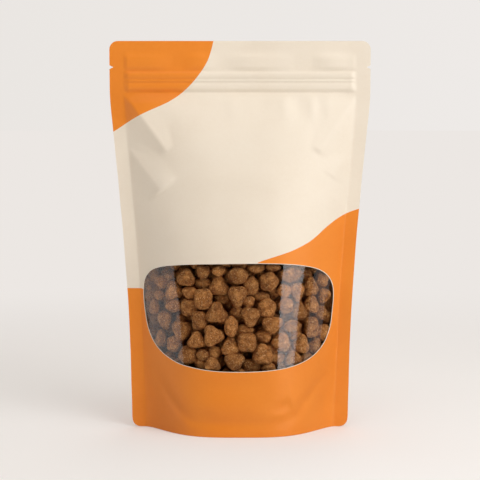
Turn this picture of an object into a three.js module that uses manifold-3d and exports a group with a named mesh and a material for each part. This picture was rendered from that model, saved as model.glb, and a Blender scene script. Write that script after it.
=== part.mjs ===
// A stand-up pouch of dry pet food, filled and sealed, in millimetres with +Z up.
//
// The pouch is made of printed film: a front panel and a back panel heat-sealed along both sides and
// across the top, a bottom gusset that unfolds into the base it stands on, a press-to-close zip inside
// the mouth, and a clear film bonded behind the cut-out in the front panel.  Inside is the pet food:
// the pieces that lie against the clear film are separate solids, and the rest of the fill is one body.
//
// The front faces -Y.  The origin is the middle of the footprint, on the surface the pouch stands on.

import * as THREE from "three";
import { mergeVertices } from "three/addons/utils/BufferGeometryUtils.js";
import Module from "manifold-3d";

const wasm = await Module();
wasm.setup();

// ---------------------------------------------------------------- driving dimensions (mm)
const HEIGHT = 299.5; // standing height, to the cut top edge
const FILM = 0.2; // laminated film thickness
const SIDE_SEAL = 10; // width of each side seal
const CORNER_R = 6.5; // rounded corners of the pouch
const GUSSET = 52; // half of the gusset's folded length
const GUSSET_GAP = 0.32; // adhesive line between the gusset and a panel
const SEAL_PLY = 0.3; // outer face of a panel from the middle plane where two plies are sealed
const SEAL_PLY_4 = 0.82; // the same where the folded gusset is sealed between the panels
const ZIP_LOW = 261.2; // zip: lower and upper edge of its bead
const ZIP_HIGH = 275.8;
const ZIP_BEAD = 1.45; // how far the zip pushes each panel out
const ZIP_LENGTH = 170; // free length of the zip between the crushed ends
const NOTCH_Z = 279.5; // tear notches in both side seals, above the zip
const NOTCH_DEPTH = 3;
const NOTCH_HALF = 1.6;
const CLEAR_FILM = 0.12; // window film thickness
const CLEAR_GAP = 0.08; // adhesive line behind the front panel
const WINDOW_LAP = 7; // how far the window film laps past the cut-out
const FLOOR_FILM_Z = 0; // underside of the gusset where it lies flat on the surface

// Half the flat width of the filled pouch, [height, half width].
const HALF_WIDTH = [
  [0, 84.1], [9, 84.3], [21, 84.5], [36, 84.9], [52, 85.2], [68, 85.7], [84, 86.3], [99, 87], [115, 88],
  [131, 89.1], [146, 90.1], [162, 91.4], [177, 92.8], [193, 94.1], [208, 95.6], [224, 97.1], [239, 98.6],
  [247, 99.4], [254, 99.9], [262, 100.2], [300, 100.2],
];
// Half the thickness of the filled pouch on its middle line, [height, half thickness].
const HALF_DEPTH = [
  [0, 41.8], [20, 41.9], [45, 41.9], [68, 41.3], [84, 40.4], [99, 39.4], [115, 37.9], [131, 36.1],
  [146, 34.4], [162, 32.1], [177, 29.5], [193, 26.7], [208, 23.4], [224, 19.2], [239, 13.7], [247, 9.9],
  [254, 5.6], [258, 2.6], [261, 0], [300, 0],
];
// Outline of the window cut-out, seen from the front, [x, z].
const WINDOW = [
  [-40.8, 130], [-30.1, 130.7], [-9, 131.2], [12.4, 131.4], [33.5, 130.6], [49.8, 128.4], [60.9, 124.8],
  [67.7, 119.4], [71.2, 112.8], [72.2, 104.1], [71.3, 92.4], [69.8, 80.9], [65.7, 69.8], [60, 62.6],
  [52.1, 57.2], [39.1, 53.1], [22.9, 51], [1.8, 50.2], [-19.4, 50.7], [-35.5, 52.5], [-48.5, 55.4],
  [-59.7, 61.5], [-66.5, 68.9], [-71.1, 79.1], [-73.3, 90.6], [-74.4, 99.8], [-74.5, 109.3],
  [-73.7, 115.6], [-71.3, 120.6], [-67.2, 124.5], [-60.5, 127.2], [-51.7, 128.8],
];
// Pieces of pet food against the window film.  Each row: centre x, y, z; half sizes across, deep and
// high; number of lobes, how deep the lobes are, the direction of the first lobe; tilt about X and Z.
const KIBBLE = [
  [-27.83, -26, 124.56, 4.98, 4.08, 5.06, 3, 0.1, 0.35, -0.22, 0.4],
  [-16.08, -28.5, 125.35, 4.86, 3.78, 4.16, 4, 0.05, 0, -0.53, 0.35],
  [-1.59, -31.5, 122.09, 6.72, 5.08, 6.01, 2, 0.03, 0, 0.18, -0.02],
  [36.3, -26.25, 121.9, 5.1, 4.22, 5.36, 3, 0.1, 1.05, 0.07, -0.27],
  [-59.87, -10.5, 115.21, 4.94, 3.93, 4.74, 3, 0.1, 0.52, 0.27, 0.24],
  [-41.03, -23.75, 119.14, 6.12, 4.95, 5.91, 3, 0.13, 1.4, 0.17, -0.16],
  [-16.28, -25.5, 112.99, 6.6, 5.61, 6.84, 3, 0.16, 1.57, -0.12, -0.13],
  [8.66, -27.5, 113.52, 5.78, 5.01, 6.74, 5, 0.05, 1.57, 0, 0.03],
  [21.88, -29.75, 117.15, 6.44, 5.39, 6.84, 5, 0.06, 1.4, 0.3, 0.18],
  [63.4, -7.75, 116.75, 4.79, 4.07, 5.6, 4, 0.05, 0.52, 0.08, 0.01],
  [-50.75, -17, 108.73, 5.98, 5.1, 6.47, 3, 0.12, 1.75, -0.22, 0.21],
  [-27.77, -29.75, 103.81, 6.8, 5.38, 7.68, 4, 0.07, 0.79, -0.08, 0.06],
  [-1.82, -32.5, 106.75, 6.21, 5.63, 7.42, 3, 0.15, 4.71, 0, 0.22],
  [33.4, -26, 109.62, 4.91, 4.08, 4.91, 4, 0.05, 0.17, 0.01, 0.37],
  [43.54, -23.5, 109.09, 4.87, 4.56, 6.38, 3, 0.12, 4.71, -0.14, 0.23],
  [54.05, -15.5, 111.39, 5.13, 4.85, 6.61, 3, 0.15, 1.66, -0.02, 0.25],
  [64.78, -5.5, 103.84, 4.67, 4.14, 5.57, 3, 0.1, 4.36, -0.29, -0.18],
  [-66.21, -4.75, 94.52, 3.93, 3.74, 5.46, 3, 0.08, 1.57, -0.18, 0.26],
  [-50.44, -18.25, 97.27, 5.87, 4.11, 4.51, 2, 0.03, 0, 0.22, 0.1],
  [-38.21, -24.25, 96.67, 6.53, 4.76, 6.27, 4, 0.07, 0.79, 0.1, -0.12],
  [20.52, -32.5, 97.67, 6.22, 5.16, 6.56, 5, 0.06, 1.57, 0.06, 0.08],
  [34.82, -28.5, 98.65, 5.41, 4.37, 5.43, 5, 0.05, 0.52, 0.08, 0.15],
  [54.76, -14.75, 97.64, 5.41, 4.87, 6.52, 3, 0.12, 1.48, 0.12, -0.18],
  [-57.71, -12.25, 85.88, 4.92, 4.63, 6.47, 3, 0.12, 4.89, 0.03, -0.19],
  [-31.06, -30.25, 87.66, 5.47, 4.63, 7.05, 4, 0.07, 0.79, 0.22, -0.09],
  [-17.65, -32.25, 93.21, 7.14, 6.04, 7.09, 3, 0.19, 3.67, 0.19, -0.07],
  [8.09, -33.75, 91.35, 6.26, 5.38, 6.64, 3, 0.15, 4.63, -0.06, -0.24],
  [44.94, -22, 93.67, 5.53, 4.95, 6.56, 3, 0.13, 1.57, -0.25, 0.02],
  [62.1, -8.25, 90.74, 4.73, 3.93, 5.1, 5, 0.05, 0, -0.08, -0.3],
  [-44.63, -22.25, 79.07, 6.53, 5.62, 6.97, 3, 0.15, 4.57, -0.05, -0.16],
  [-6.73, -35.25, 83.64, 4.74, 4.65, 7.14, 2, 0, 1.57, -0.09, 0.01],
  [24.07, -31.75, 84.91, 6.98, 5.54, 6.33, 3, 0.15, 4.57, -0.18, -0.08],
  [39.62, -26.5, 82.84, 6.37, 4.28, 4.51, 2, 0.03, 0, 0.11, 0.13],
  [54.72, -15, 80.25, 5.43, 4.88, 7.75, 4, 0.06, 0.79, 0.01, 0.27],
  [-60.92, -8.75, 70.26, 4.58, 4.46, 6.56, 3, 0.1, 1.57, -0.28, 0.23],
  [-50.77, -18.75, 68.01, 5.09, 4.4, 5.94, 5, 0.05, 0, -0.02, 0.03],
  [-33, -29.75, 72.22, 6.07, 4.84, 5.61, 3, 0.15, 1.57, -0.04, 0.01],
  [-20.6, -33, 76.27, 6.81, 5.72, 6.92, 3, 0.17, 0, 0.05, 0.11],
  [5.22, -35.5, 71.53, 6.99, 5.13, 6.89, 4, 0.08, 0.79, 0.18, 0.01],
  [31.3, -30.5, 70.97, 6.21, 5.16, 6.41, 3, 0.12, 1.22, -0.1, -0.14],
  [46.43, -21.75, 68, 5.94, 5.17, 6.63, 3, 0.13, 1.4, -0.05, 0.25],
  [63.67, -6.25, 75.32, 4.98, 4.5, 6.15, 3, 0.1, 4.89, -0.15, 0.18],
  [-39.84, -26.25, 60.25, 6.32, 5.24, 6.71, 5, 0.05, 0.7, -0.28, -0.23],
  [-28.21, -30.75, 61.2, 4.51, 3.64, 4.16, 4, 0.05, 0, 0.34, -0.39],
  [-7.14, -32.25, 67.31, 6.35, 5.23, 6.33, 3, 0.14, 1.57, -0.21, 0.26],
  [17.37, -34, 61.77, 6.96, 5.83, 7.29, 3, 0.12, 1.57, 0.27, 0.04],
  [57.82, -11.25, 64.27, 5.39, 4.79, 6.47, 3, 0.1, 1.22, -0.26, -0.04],
  [-21.15, -35.25, 54.54, 5.59, 4.46, 5.24, 3, 0.14, 1.57, -0.05, 0.19],
  [-4.09, -36, 57.08, 6.73, 5.26, 6.04, 3, 0.14, 4.71, -0.29, 0.08],
  [9.07, -28.5, 52.74, 6.96, 4.35, 4.9, 4, 0.07, 0.79, 0.27, -0.03],
  [40.29, -26.75, 57.83, 5.98, 4.65, 5.39, 3, 0.12, 1.75, -0.04, 0.23],
];

// ---------------------------------------------------------------- the form of a filled pouch
// A smooth curve without overshoot through [position, value] pairs.
function monotone(table) {
  const n = table.length;
  const step = [], slope = [], m = new Array(n).fill(0);
  for (let i = 0; i + 1 < n; i++) {
    step.push(table[i + 1][0] - table[i][0]);
    slope.push((table[i + 1][1] - table[i][1]) / step[i]);
  }
  m[0] = slope[0];
  m[n - 1] = slope[n - 2];
  for (let i = 1; i + 1 < n; i++) {
    if (slope[i - 1] * slope[i] <= 0) continue;
    const a = 2 * step[i] + step[i - 1], b = step[i] + 2 * step[i - 1];
    m[i] = (a + b) / (a / slope[i - 1] + b / slope[i]);
  }
  return (v) => {
    const p = Math.min(Math.max(v, table[0][0]), table[n - 1][0]);
    let i = 0;
    while (i < n - 2 && p > table[i + 1][0]) i++;
    const h = step[i], t = (p - table[i][0]) / h;
    return (
      (1 + 2 * t) * (1 - t) ** 2 * table[i][1] + t * (1 - t) ** 2 * h * m[i] +
      t * t * (3 - 2 * t) * table[i + 1][1] + t * t * (t - 1) * h * m[i + 1]
    );
  };
}
const halfWidth = monotone(HALF_WIDTH);
const halfDepth = monotone(HALF_DEPTH);
const freeHalf = (z) => halfWidth(z) - SIDE_SEAL; // from the middle line to the inner edge of a side seal
const ramp = (a, b, v) => {
  const t = Math.min(Math.max((v - a) / (b - a), 0), 1);
  return t * t * (3 - 2 * t);
};

// Distance of a panel's outer face from the middle plane.  The film is a flattened arch between the
// side seals, squarer near the base, where the gusset holds it open.
function bulge(x, z) {
  const ax = Math.abs(x), u = Math.min(ax / freeHalf(z), 1), s = ramp(5, 70, z);
  const p = 3.5 - 0.9 * s, q = 1.7 - 0.62 * s;
  const ply = SEAL_PLY_4 - (SEAL_PLY_4 - SEAL_PLY) * ramp(52, 62, z);
  const body = halfDepth(z) * Math.pow(1 - Math.pow(u, p), q);
  const bead =
    ZIP_BEAD * (1 - ramp(ZIP_HIGH - 0.5, ZIP_HIGH + 0.6, z)) * ramp(ZIP_LOW - 0.6, ZIP_LOW + 0.4, z) *
    (1 - ramp(87.5, 90.2, ax));
  return ply + Math.max(body, bead);
}
// The same, `depth` of material further in, measured square to the film.
function bulgeInside(x, z, depth) {
  const e = 0.3;
  const gx = (bulge(x + e, z) - bulge(x - e, z)) / (2 * e);
  const gz = Math.abs(z - (ZIP_LOW + ZIP_HIGH) / 2) < 12 ? 0 : (bulge(x, z + e) - bulge(x, z - e)) / (2 * e);
  return bulge(x, z) - depth * Math.min(Math.sqrt(1 + gx * gx + gz * gz), 3);
}

// ---------------------------------------------------------------- geometry helpers
// A closed sheet between two grids of points, walled round its rim.
function sheet(columns, rows, outer, inner) {
  const points = [], index = [];
  for (const side of [outer, inner])
    for (let j = 0; j <= rows; j++)
      for (let i = 0; i <= columns; i++) points.push(...side(i, j));
  const at = (s, i, j) => s * (columns + 1) * (rows + 1) + j * (columns + 1) + i;
  const quad = (a, b, c, d) => index.push(a, b, c, a, c, d);
  for (let j = 0; j < rows; j++)
    for (let i = 0; i < columns; i++) {
      quad(at(0, i, j), at(0, i + 1, j), at(0, i + 1, j + 1), at(0, i, j + 1));
      quad(at(1, i, j), at(1, i, j + 1), at(1, i + 1, j + 1), at(1, i + 1, j));
    }
  for (let i = 0; i < columns; i++) {
    quad(at(0, i, 0), at(1, i, 0), at(1, i + 1, 0), at(0, i + 1, 0));
    quad(at(0, i + 1, rows), at(1, i + 1, rows), at(1, i, rows), at(0, i, rows));
  }
  for (let j = 0; j < rows; j++) {
    quad(at(0, 0, j + 1), at(1, 0, j + 1), at(1, 0, j), at(0, 0, j));
    quad(at(0, columns, j), at(1, columns, j), at(1, columns, j + 1), at(0, columns, j + 1));
  }
  const g = new THREE.BufferGeometry();
  g.setAttribute("position", new THREE.Float32BufferAttribute(points, 3));
  g.setIndex(index);
  return g;
}
// A geometry as a solid that can be joined and cut.
function solid(geometry) {
  let g = geometry.index ? geometry.toNonIndexed() : geometry.clone();
  g.deleteAttribute("normal");
  g.deleteAttribute("uv");
  g = mergeVertices(g, 1e-4);
  const made = new wasm.Manifold(
    new wasm.Mesh({
      numProp: 3,
      vertProperties: new Float32Array(g.attributes.position.array),
      triVerts: new Uint32Array(g.index.array),
    }),
  );
  return made;
}
function geometryOf(made) {
  const m = made.getMesh(), n = m.numProp, v = [];
  for (let i = 0; i < m.numVert; i++)
    v.push(m.vertProperties[i * n], m.vertProperties[i * n + 1], m.vertProperties[i * n + 2]);
  const g = new THREE.BufferGeometry();
  g.setAttribute("position", new THREE.Float32BufferAttribute(v, 3));
  g.setIndex(Array.from(m.triVerts));
  return g;
}
// An outline in the plane of the front, [x, z], cut through from y = near to y = far.
function punch(outline, near, far, smooth) {
  const v = outline.map(([x, z]) => new THREE.Vector3(x, z, 0));
  const dense = smooth ? new THREE.CatmullRomCurve3(v, true, "centripetal").getPoints(smooth) : v;
  if (smooth) dense.pop();
  const shape = new THREE.Shape(dense.map((p) => new THREE.Vector2(p.x, p.y)));
  const g = new THREE.ExtrudeGeometry(shape, { depth: far - near, bevelEnabled: false, steps: 1 });
  g.rotateX(Math.PI / 2); // drawing plane to the plane of the front, depth towards -Y
  g.translate(0, far, 0);
  return solid(g);
}

// What is trimmed off every ply: the four rounded corners and the two tear notches.
function cornerOutline(x, z, sx, sz) {
  const out = [[x + sx * 2, z + sz * 2]];
  const steps = 5;
  out.push([x + sx * 2, z - sz * CORNER_R]);
  for (let i = 0; i <= steps; i++) {
    const a = (i / steps) * (Math.PI / 2);
    out.push([x - sx * CORNER_R * (1 - Math.cos(a)), z - sz * CORNER_R * (1 - Math.sin(a))]);
  }
  out.push([x - sx * CORNER_R, z + sz * 2]);
  return out;
}
const cutters = [];
for (const sx of [-1, 1]) {
  cutters.push(cornerOutline(sx * halfWidth(HEIGHT), HEIGHT, sx, 1));
  cutters.push(cornerOutline(sx * halfWidth(0), 0, sx, -1));
  const w = halfWidth(NOTCH_Z);
  cutters.push([
    [sx * (w + 1), NOTCH_Z - NOTCH_HALF - 0.4],
    [sx * (w + 1), NOTCH_Z + NOTCH_HALF + 0.4],
    [sx * (w - NOTCH_DEPTH), NOTCH_Z],
  ]);
}
const trim = (made) => {
  for (const outline of cutters) made = made.subtract(punch(outline, -12, 12, 0));
  return made;
};

const pouch = new THREE.Group();
pouch.name = "pet_food_bag";
const printed = new THREE.MeshStandardMaterial({ color: 0xe5873a, roughness: 0.55, metalness: 0 });
function add(name, geometry, colour, roughness, extra = {}) {
  const g = geometry.clone();
  g.computeVertexNormals();
  const m = new THREE.MeshStandardMaterial({ color: colour, roughness, metalness: 0, ...extra });
  const mesh = new THREE.Mesh(g, m);
  mesh.name = name;
  pouch.add(mesh);
  return mesh;
}

// ---------------------------------------------------------------- panels
// Columns are shares of the free half width, then the seal; rows are heights.
const SHARES = [0, 0.17, 0.34, 0.5, 0.64, 0.76, 0.86, 0.94, 0.985, 1];
const columnX = (i, z) => {
  const k = i - SHARES.length, a = Math.abs(k); // 0 in the middle
  const x = a < SHARES.length ? SHARES[a] * freeHalf(z) : halfWidth(z);
  return Math.sign(k) * x;
};
const COLUMNS = 2 * SHARES.length;
const ROWS = [
  0, 9, 20, 32, 44, 52, 62, 76, 92, 108, 124, 140, 157, 174, 191, 207, 222, 235, 246, 255, 258.6,
  ZIP_LOW - 0.6, ZIP_LOW + 0.4, ZIP_HIGH - 0.5, ZIP_HIGH + 0.6, 288, HEIGHT,
];
function panel(side) {
  const outer = (i, j) => { const z = ROWS[j], x = columnX(i, z); return [x, side * bulge(x, z), z]; };
  const inner = (i, j) => { const z = ROWS[j], x = columnX(i, z); return [x, side * bulgeInside(x, z, FILM), z]; };
  const made = side < 0 ? sheet(COLUMNS, ROWS.length - 1, outer, inner) : sheet(COLUMNS, ROWS.length - 1, inner, outer);
  return trim(solid(made));
}
const front = panel(-1).subtract(punch(WINDOW, -60, -0.02, 72));
add("front_panel", geometryOf(front), 0xefe0c6, 0.55);
add("back_panel", geometryOf(panel(1)), 0xefe0c6, 0.55);

// ---------------------------------------------------------------- window film
// On the same grid as the front panel, one adhesive line further in, and cut to the window's outline
// with its lap.  At its ends it stops where the two panels meet.
{
  const lapped = WINDOW.map(([x, z]) => {
    const cx = 0, cz = 91, dx = x - cx, dz = z - cz, d = Math.hypot(dx, dz);
    const k = (d + WINDOW_LAP) / d;
    return [cx + dx * k, cz + dz * k];
  });
  const rows = ROWS.filter((z) => z >= 32 && z <= 145);
  const most = SHARES.length - 1; // columns inside the free width, the last but one share is 0.985
  const reach = most - 1;
  const columnIn = (i, z) => {
    const k = i - reach;
    return Math.sign(k) * SHARES[Math.abs(k)] * freeHalf(z);
  };
  const face = (depth) => (i, j) => {
    const z = rows[j], x = columnIn(i, z);
    return [x, -bulgeInside(x, z, depth), z];
  };
  const film = solid(sheet(2 * reach, rows.length - 1, face(FILM + CLEAR_GAP), face(FILM + CLEAR_GAP + CLEAR_FILM)));
  add("window_film", geometryOf(film.intersect(punch(lapped, -60, 2, 64))), 0xf2f2f0, 0.08, { transparent: true, opacity: 0.2 });
}

// ---------------------------------------------------------------- bottom gusset
// Below the curved seal line the gusset is bonded inside each panel; above it the film leaves both
// panels and spans the base, hanging as low as its length lets it, or lying on the surface.
const sealLine = (x) => Math.min(8.5 + 42 * Math.pow(Math.abs(x) / 72, 4), GUSSET);
const gussetFace = (x, z) => bulgeInside(x, z, FILM) - GUSSET_GAP; // outer face of the bonded gusset
function spanDepth(width, length, drop) {
  // depth of the hanging span: its curve, laid flat on the surface where it reaches it, has the film's length
  const reachOf = (d) => {
    let sum = 0, y0 = -width / 2, z0 = 0;
    for (let i = 1; i <= 60; i++) {
      const v = -1 + (2 * i) / 60, y = (v * width) / 2, z = -Math.min(d * (1 - v * v), drop);
      sum += Math.hypot(y - y0, z - z0);
      [y0, z0] = [y, z];
    }
    return sum;
  };
  let low = 0, high = 400;
  for (let i = 0; i < 40; i++) {
    const mid = (low + high) / 2;
    if (reachOf(mid) < length) low = mid; else high = mid;
  }
  return low;
}
{
  const flangeColumns = COLUMNS;
  const flange = (side) => {
    const rows = 4;
    const top = (i) => sealLine(columnX(i, 26));
    const zAt = (i, j) => (top(i) * j) / rows;
    const outer = (i, j) => { const z = zAt(i, j), x = columnX(i, z); return [x, side * gussetFace(x, z), z]; };
    const inner = (i, j) => {
      const z = zAt(i, j), x = columnX(i, z);
      const sealed = 0.16 * ramp(0.985, 1, Math.abs(x) / freeHalf(z));
      return [x, side * (gussetFace(x, z) - FILM * 1.05 - sealed), z];
    };
    return solid(side < 0 ? sheet(flangeColumns, rows, outer, inner) : sheet(flangeColumns, rows, inner, outer));
  };
  // the free span, as a sheet over the base
  const xs = [0, 14, 27, 38, 47, 54.5, 60.5, 65.5, 69.5];
  const across = 2 * xs.length - 2, along = 12;
  const spanX = (i) => { const k = i - (xs.length - 1); return Math.sign(k) * xs[Math.abs(k)]; };
  const lines = [];
  for (let i = 0; i <= across; i++) {
    const x = spanX(i), z = sealLine(x), half = gussetFace(x, z) - FILM * 0.55;
    const drop = z - FILM / 2 - FLOOR_FILM_Z;
    const length = Math.max(2 * (GUSSET - z), 2 * half * 1.001);
    const d = spanDepth(2 * half, length, drop);
    const line = [];
    for (let j = 0; j <= along; j++) {
      const v = -Math.cos((j / along) * Math.PI); // closer together towards the panels
      line.push([x, v * half, z - Math.min(d * (1 - v * v), drop)]);
    }
    lines.push(line);
  }
  const shifted = (i, j, s) => {
    const a = lines[Math.max(i - 1, 0)][j], b = lines[Math.min(i + 1, across)][j];
    const c = lines[i][Math.max(j - 1, 0)], e = lines[i][Math.min(j + 1, along)];
    const u = new THREE.Vector3(b[0] - a[0], b[1] - a[1], b[2] - a[2]);
    const w = new THREE.Vector3(e[0] - c[0], e[1] - c[1], e[2] - c[2]);
    const n = u.cross(w).normalize();
    if (n.z < 0) n.negate();
    const p = lines[i][j];
    const flat = p[2] <= FILM / 2 + FLOOR_FILM_Z + 1e-6;
    const q = flat ? [p[0], p[1], p[2] + (s * FILM) / 2] : [p[0] + (n.x * s * FILM) / 2, p[1] + (n.y * s * FILM) / 2, p[2] + (n.z * s * FILM) / 2];
    q[2] = Math.max(q[2], FLOOR_FILM_Z);
    return q;
  };
  const span = solid(sheet(across, along, (i, j) => shifted(i, j, -1).map((v, k) => v), (i, j) => shifted(i, j, 1)));
  const spanUp = span.volume() < 0 ? solid(sheet(across, along, (i, j) => shifted(i, j, 1), (i, j) => shifted(i, j, -1))) : span;
  const gusset = trim(spanUp.add(flange(-1)).add(flange(1)));
  add("bottom_gusset", geometryOf(gusset), 0xe07c2c, 0.55);
}

// ---------------------------------------------------------------- zip
// Two extruded strips welded inside the panels: one carries a rib, the other the channel it snaps into.
function zipStrip(profile) {
  const shape = new THREE.Shape(profile.map(([y, z]) => new THREE.Vector2(y, z)));
  const g = new THREE.ExtrudeGeometry(shape, { depth: ZIP_LENGTH, bevelEnabled: false, steps: 1 });
  // drawing plane (y, z) to the part's Y and Z, extruded along X
  g.applyMatrix4(new THREE.Matrix4().makeBasis(new THREE.Vector3(0, 1, 0), new THREE.Vector3(0, 0, 1), new THREE.Vector3(1, 0, 0)));
  g.translate(-ZIP_LENGTH / 2, 0, 0);
  return geometryOf(solid(g));
}
const zipMid = 268.5;
add("zip_rib_strip", zipStrip([
  [-1.45, 262.2], [-1.15, 262.2], [-1.15, zipMid - 0.25], [-0.1, zipMid - 0.25], [-0.1, zipMid - 0.6], [0.5, zipMid - 0.2],
  [0.5, zipMid + 0.2], [-0.1, zipMid + 0.6], [-0.1, zipMid + 0.25], [-1.15, zipMid + 0.25], [-1.15, 274.8], [-1.45, 274.8],
]), 0xf4efe4, 0.4);
add("zip_channel_strip", zipStrip([
  [1.45, 262.2], [1.45, 274.8], [1.15, 274.8], [1.15, zipMid + 1.6], [-0.75, zipMid + 1.6], [-0.75, zipMid + 0.5],
  [-0.35, zipMid + 0.5], [-0.35, zipMid + 1.05], [1.15, zipMid + 1.05], [1.15, zipMid - 1.05], [-0.35, zipMid - 1.05],
  [-0.35, zipMid - 0.5], [-0.75, zipMid - 0.5], [-0.75, zipMid - 1.6], [1.15, zipMid - 1.6], [1.15, 262.2],
]), 0xf4efe4, 0.4);

// ---------------------------------------------------------------- fill
// The bulk of the pet food, set back from the window behind the separate pieces.
{
  const levels = [13, 22, 32, 42, 52, 66, 82, 98, 114, 130, 142, 152, 164, 175, 183, 188];
  const around = 26;
  const setBack = (z) => 4 + 17 * ramp(30, 46, z) * (1 - ramp(140, 156, z));
  const rings = levels.map((z) => {
    const back = 4, least = setBack(z) > 6 ? 15.5 : 12;
    let a = 0, b = freeHalf(z);
    for (let i = 0; i < 40; i++) { const m = (a + b) / 2; if (bulge(m, z) > least) a = m; else b = m; }
    const limit = z < 50 ? 34 + 0.86 * z : 200; // stays clear of the rising gusset
    let half = Math.min(a, limit);
    const crown = z > 170 ? Math.sqrt(Math.max(1 - ((z - 170) / 22) ** 2, 0.02)) : 1;
    half *= crown;
    const ring = [];
    for (let k = 0; k < around; k++) {
      const t = (k / around) * 2 * Math.PI, x = half * Math.cos(t), f = bulge(x, z);
      const lo = -(f - setBack(z)) * crown, hi = (f - back) * crown, mid = (lo + hi) / 2;
      const s = Math.sin(t), round = Math.sign(s) * Math.pow(Math.abs(s), 0.55);
      ring.push([x, mid + ((hi - lo) / 2) * round, z]);
    }
    return ring;
  });
  const points = [], index = [];
  rings.forEach((r) => r.forEach((p) => points.push(...p)));
  const n = around, rowsCount = rings.length;
  for (let j = 0; j + 1 < rowsCount; j++)
    for (let k = 0; k < n; k++) {
      const a = j * n + k, b = j * n + ((k + 1) % n);
      index.push(a, b, b + n, a, b + n, a + n);
    }
  const centre = (r) => r.reduce((s, p) => [s[0] + p[0] / n, s[1] + p[1] / n, s[2] + p[2] / n], [0, 0, 0]);
  const bottom = points.length / 3; points.push(...centre(rings[0]));
  const top = points.length / 3; points.push(...centre(rings[rowsCount - 1]).map((v, i) => (i === 2 ? v + 1.5 : v)));
  for (let k = 0; k < n; k++) {
    index.push(bottom, (k + 1) % n, k);
    index.push(top, (rowsCount - 1) * n + k, (rowsCount - 1) * n + ((k + 1) % n));
  }
  const g = new THREE.BufferGeometry();
  g.setAttribute("position", new THREE.Float32BufferAttribute(points, 3));
  g.setIndex(index);
  add("kibble_bulk", g, 0x8a5c30, 0.9);
}

// One piece of pet food: a thick pillow with rounded lobes.
function kibble([x, y, z, across, deep, high, lobes, depth, first, tiltX, tiltZ]) {
  const g = new THREE.IcosahedronGeometry(1, 1);
  const p = g.attributes.position;
  for (let i = 0; i < p.count; i++) {
    const dx = p.getX(i), dy = p.getY(i), dz = p.getZ(i);
    const r = 1 + depth * Math.cos(lobes * (Math.atan2(dz, dx) - first));
    p.setXYZ(i, across * dx * r, deep * Math.sign(dy) * Math.pow(Math.abs(dy), 0.85), high * dz * r);
  }
  g.deleteAttribute("normal");
  g.deleteAttribute("uv");
  const merged = mergeVertices(g, 1e-3);
  merged.applyMatrix4(new THREE.Matrix4().makeRotationX(tiltX));
  merged.applyMatrix4(new THREE.Matrix4().makeRotationZ(tiltZ));
  merged.translate(x, y, z);
  return merged;
}
KIBBLE.forEach((row, i) => {
  const tone = [0xa86e3c, 0xb57a44, 0x9c6434][i % 3];
  add("kibble_" + String(i + 1).padStart(2, "0"), kibble(row), tone, 0.9);
});

export default pouch;
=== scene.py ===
import math

import bmesh
import bpy
import numpy as np
from mathutils import Matrix, Vector
from mathutils import noise as mathutils_noise
from mathutils.geometry import delaunay_2d_cdt


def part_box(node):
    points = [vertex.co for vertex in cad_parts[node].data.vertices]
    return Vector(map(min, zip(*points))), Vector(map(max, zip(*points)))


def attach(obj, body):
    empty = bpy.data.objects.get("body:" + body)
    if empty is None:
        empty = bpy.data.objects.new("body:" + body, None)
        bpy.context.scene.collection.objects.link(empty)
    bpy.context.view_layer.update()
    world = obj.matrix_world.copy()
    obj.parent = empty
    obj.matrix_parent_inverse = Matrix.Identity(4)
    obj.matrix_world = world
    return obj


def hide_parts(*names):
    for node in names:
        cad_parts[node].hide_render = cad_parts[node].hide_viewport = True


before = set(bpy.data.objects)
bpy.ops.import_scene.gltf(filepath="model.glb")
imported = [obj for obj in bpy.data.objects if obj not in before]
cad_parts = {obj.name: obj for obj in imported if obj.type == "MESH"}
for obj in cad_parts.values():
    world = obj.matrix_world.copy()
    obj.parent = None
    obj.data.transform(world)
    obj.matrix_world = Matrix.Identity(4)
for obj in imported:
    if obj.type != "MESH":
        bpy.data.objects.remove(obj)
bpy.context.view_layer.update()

MM = 0.001
scene = bpy.context.scene
scene.view_settings.view_transform = "Standard"
scene.view_settings.look = "None"
scene.view_settings.exposure = 0.0
scene.view_settings.gamma = 1.0

# ------------------------------------------------------------------ camera
cam_data = bpy.data.cameras.new("camera")
cam_data.sensor_width = 36.0
cam_data.lens = 116.06
cam = bpy.data.objects.new("camera", cam_data)
scene.collection.objects.link(cam)
cam.location = (0.0, -1.19543, 0.25089)
cam.rotation_euler = (Vector((0, 0, 0.1463)) - Vector(cam.location)).to_track_quat("-Z", "Y").to_euler()
cam_data.clip_start, cam_data.clip_end = 0.02, 100.0
scene.camera = cam

# ------------------------------------------------------------------ the filled pouch's form, in mm, as in the CAD
HEIGHT = 299.5
FILM = 0.2
SIDE_SEAL = 10.0
CORNER_R = 6.5
HALF_WIDTH = [(0, 84.1), (9, 84.3), (21, 84.5), (36, 84.9), (52, 85.2), (68, 85.7), (84, 86.3), (99, 87), (115, 88),
              (131, 89.1), (146, 90.1), (162, 91.4), (177, 92.8), (193, 94.1), (208, 95.6), (224, 97.1), (239, 98.6),
              (247, 99.4), (254, 99.9), (262, 100.2), (300, 100.2)]
HALF_DEPTH = [(0, 41.8), (20, 41.9), (45, 41.9), (68, 41.3), (84, 40.4), (99, 39.4), (115, 37.9), (131, 36.1),
              (146, 34.4), (162, 32.1), (177, 29.5), (193, 26.7), (208, 23.4), (224, 19.2), (239, 13.7), (247, 9.9),
              (254, 5.6), (258, 2.6), (261, 0), (300, 0)]
SEAL_LINE = [(0, 10.3), (20, 10.4), (31, 11.0), (36, 12.2), (40, 14.0), (45, 17.3), (51, 23.6), (57.5, 31.4), (64, 39.6),
             (68, 45.0), (73, 52.0), (90, 52.0)]


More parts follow.
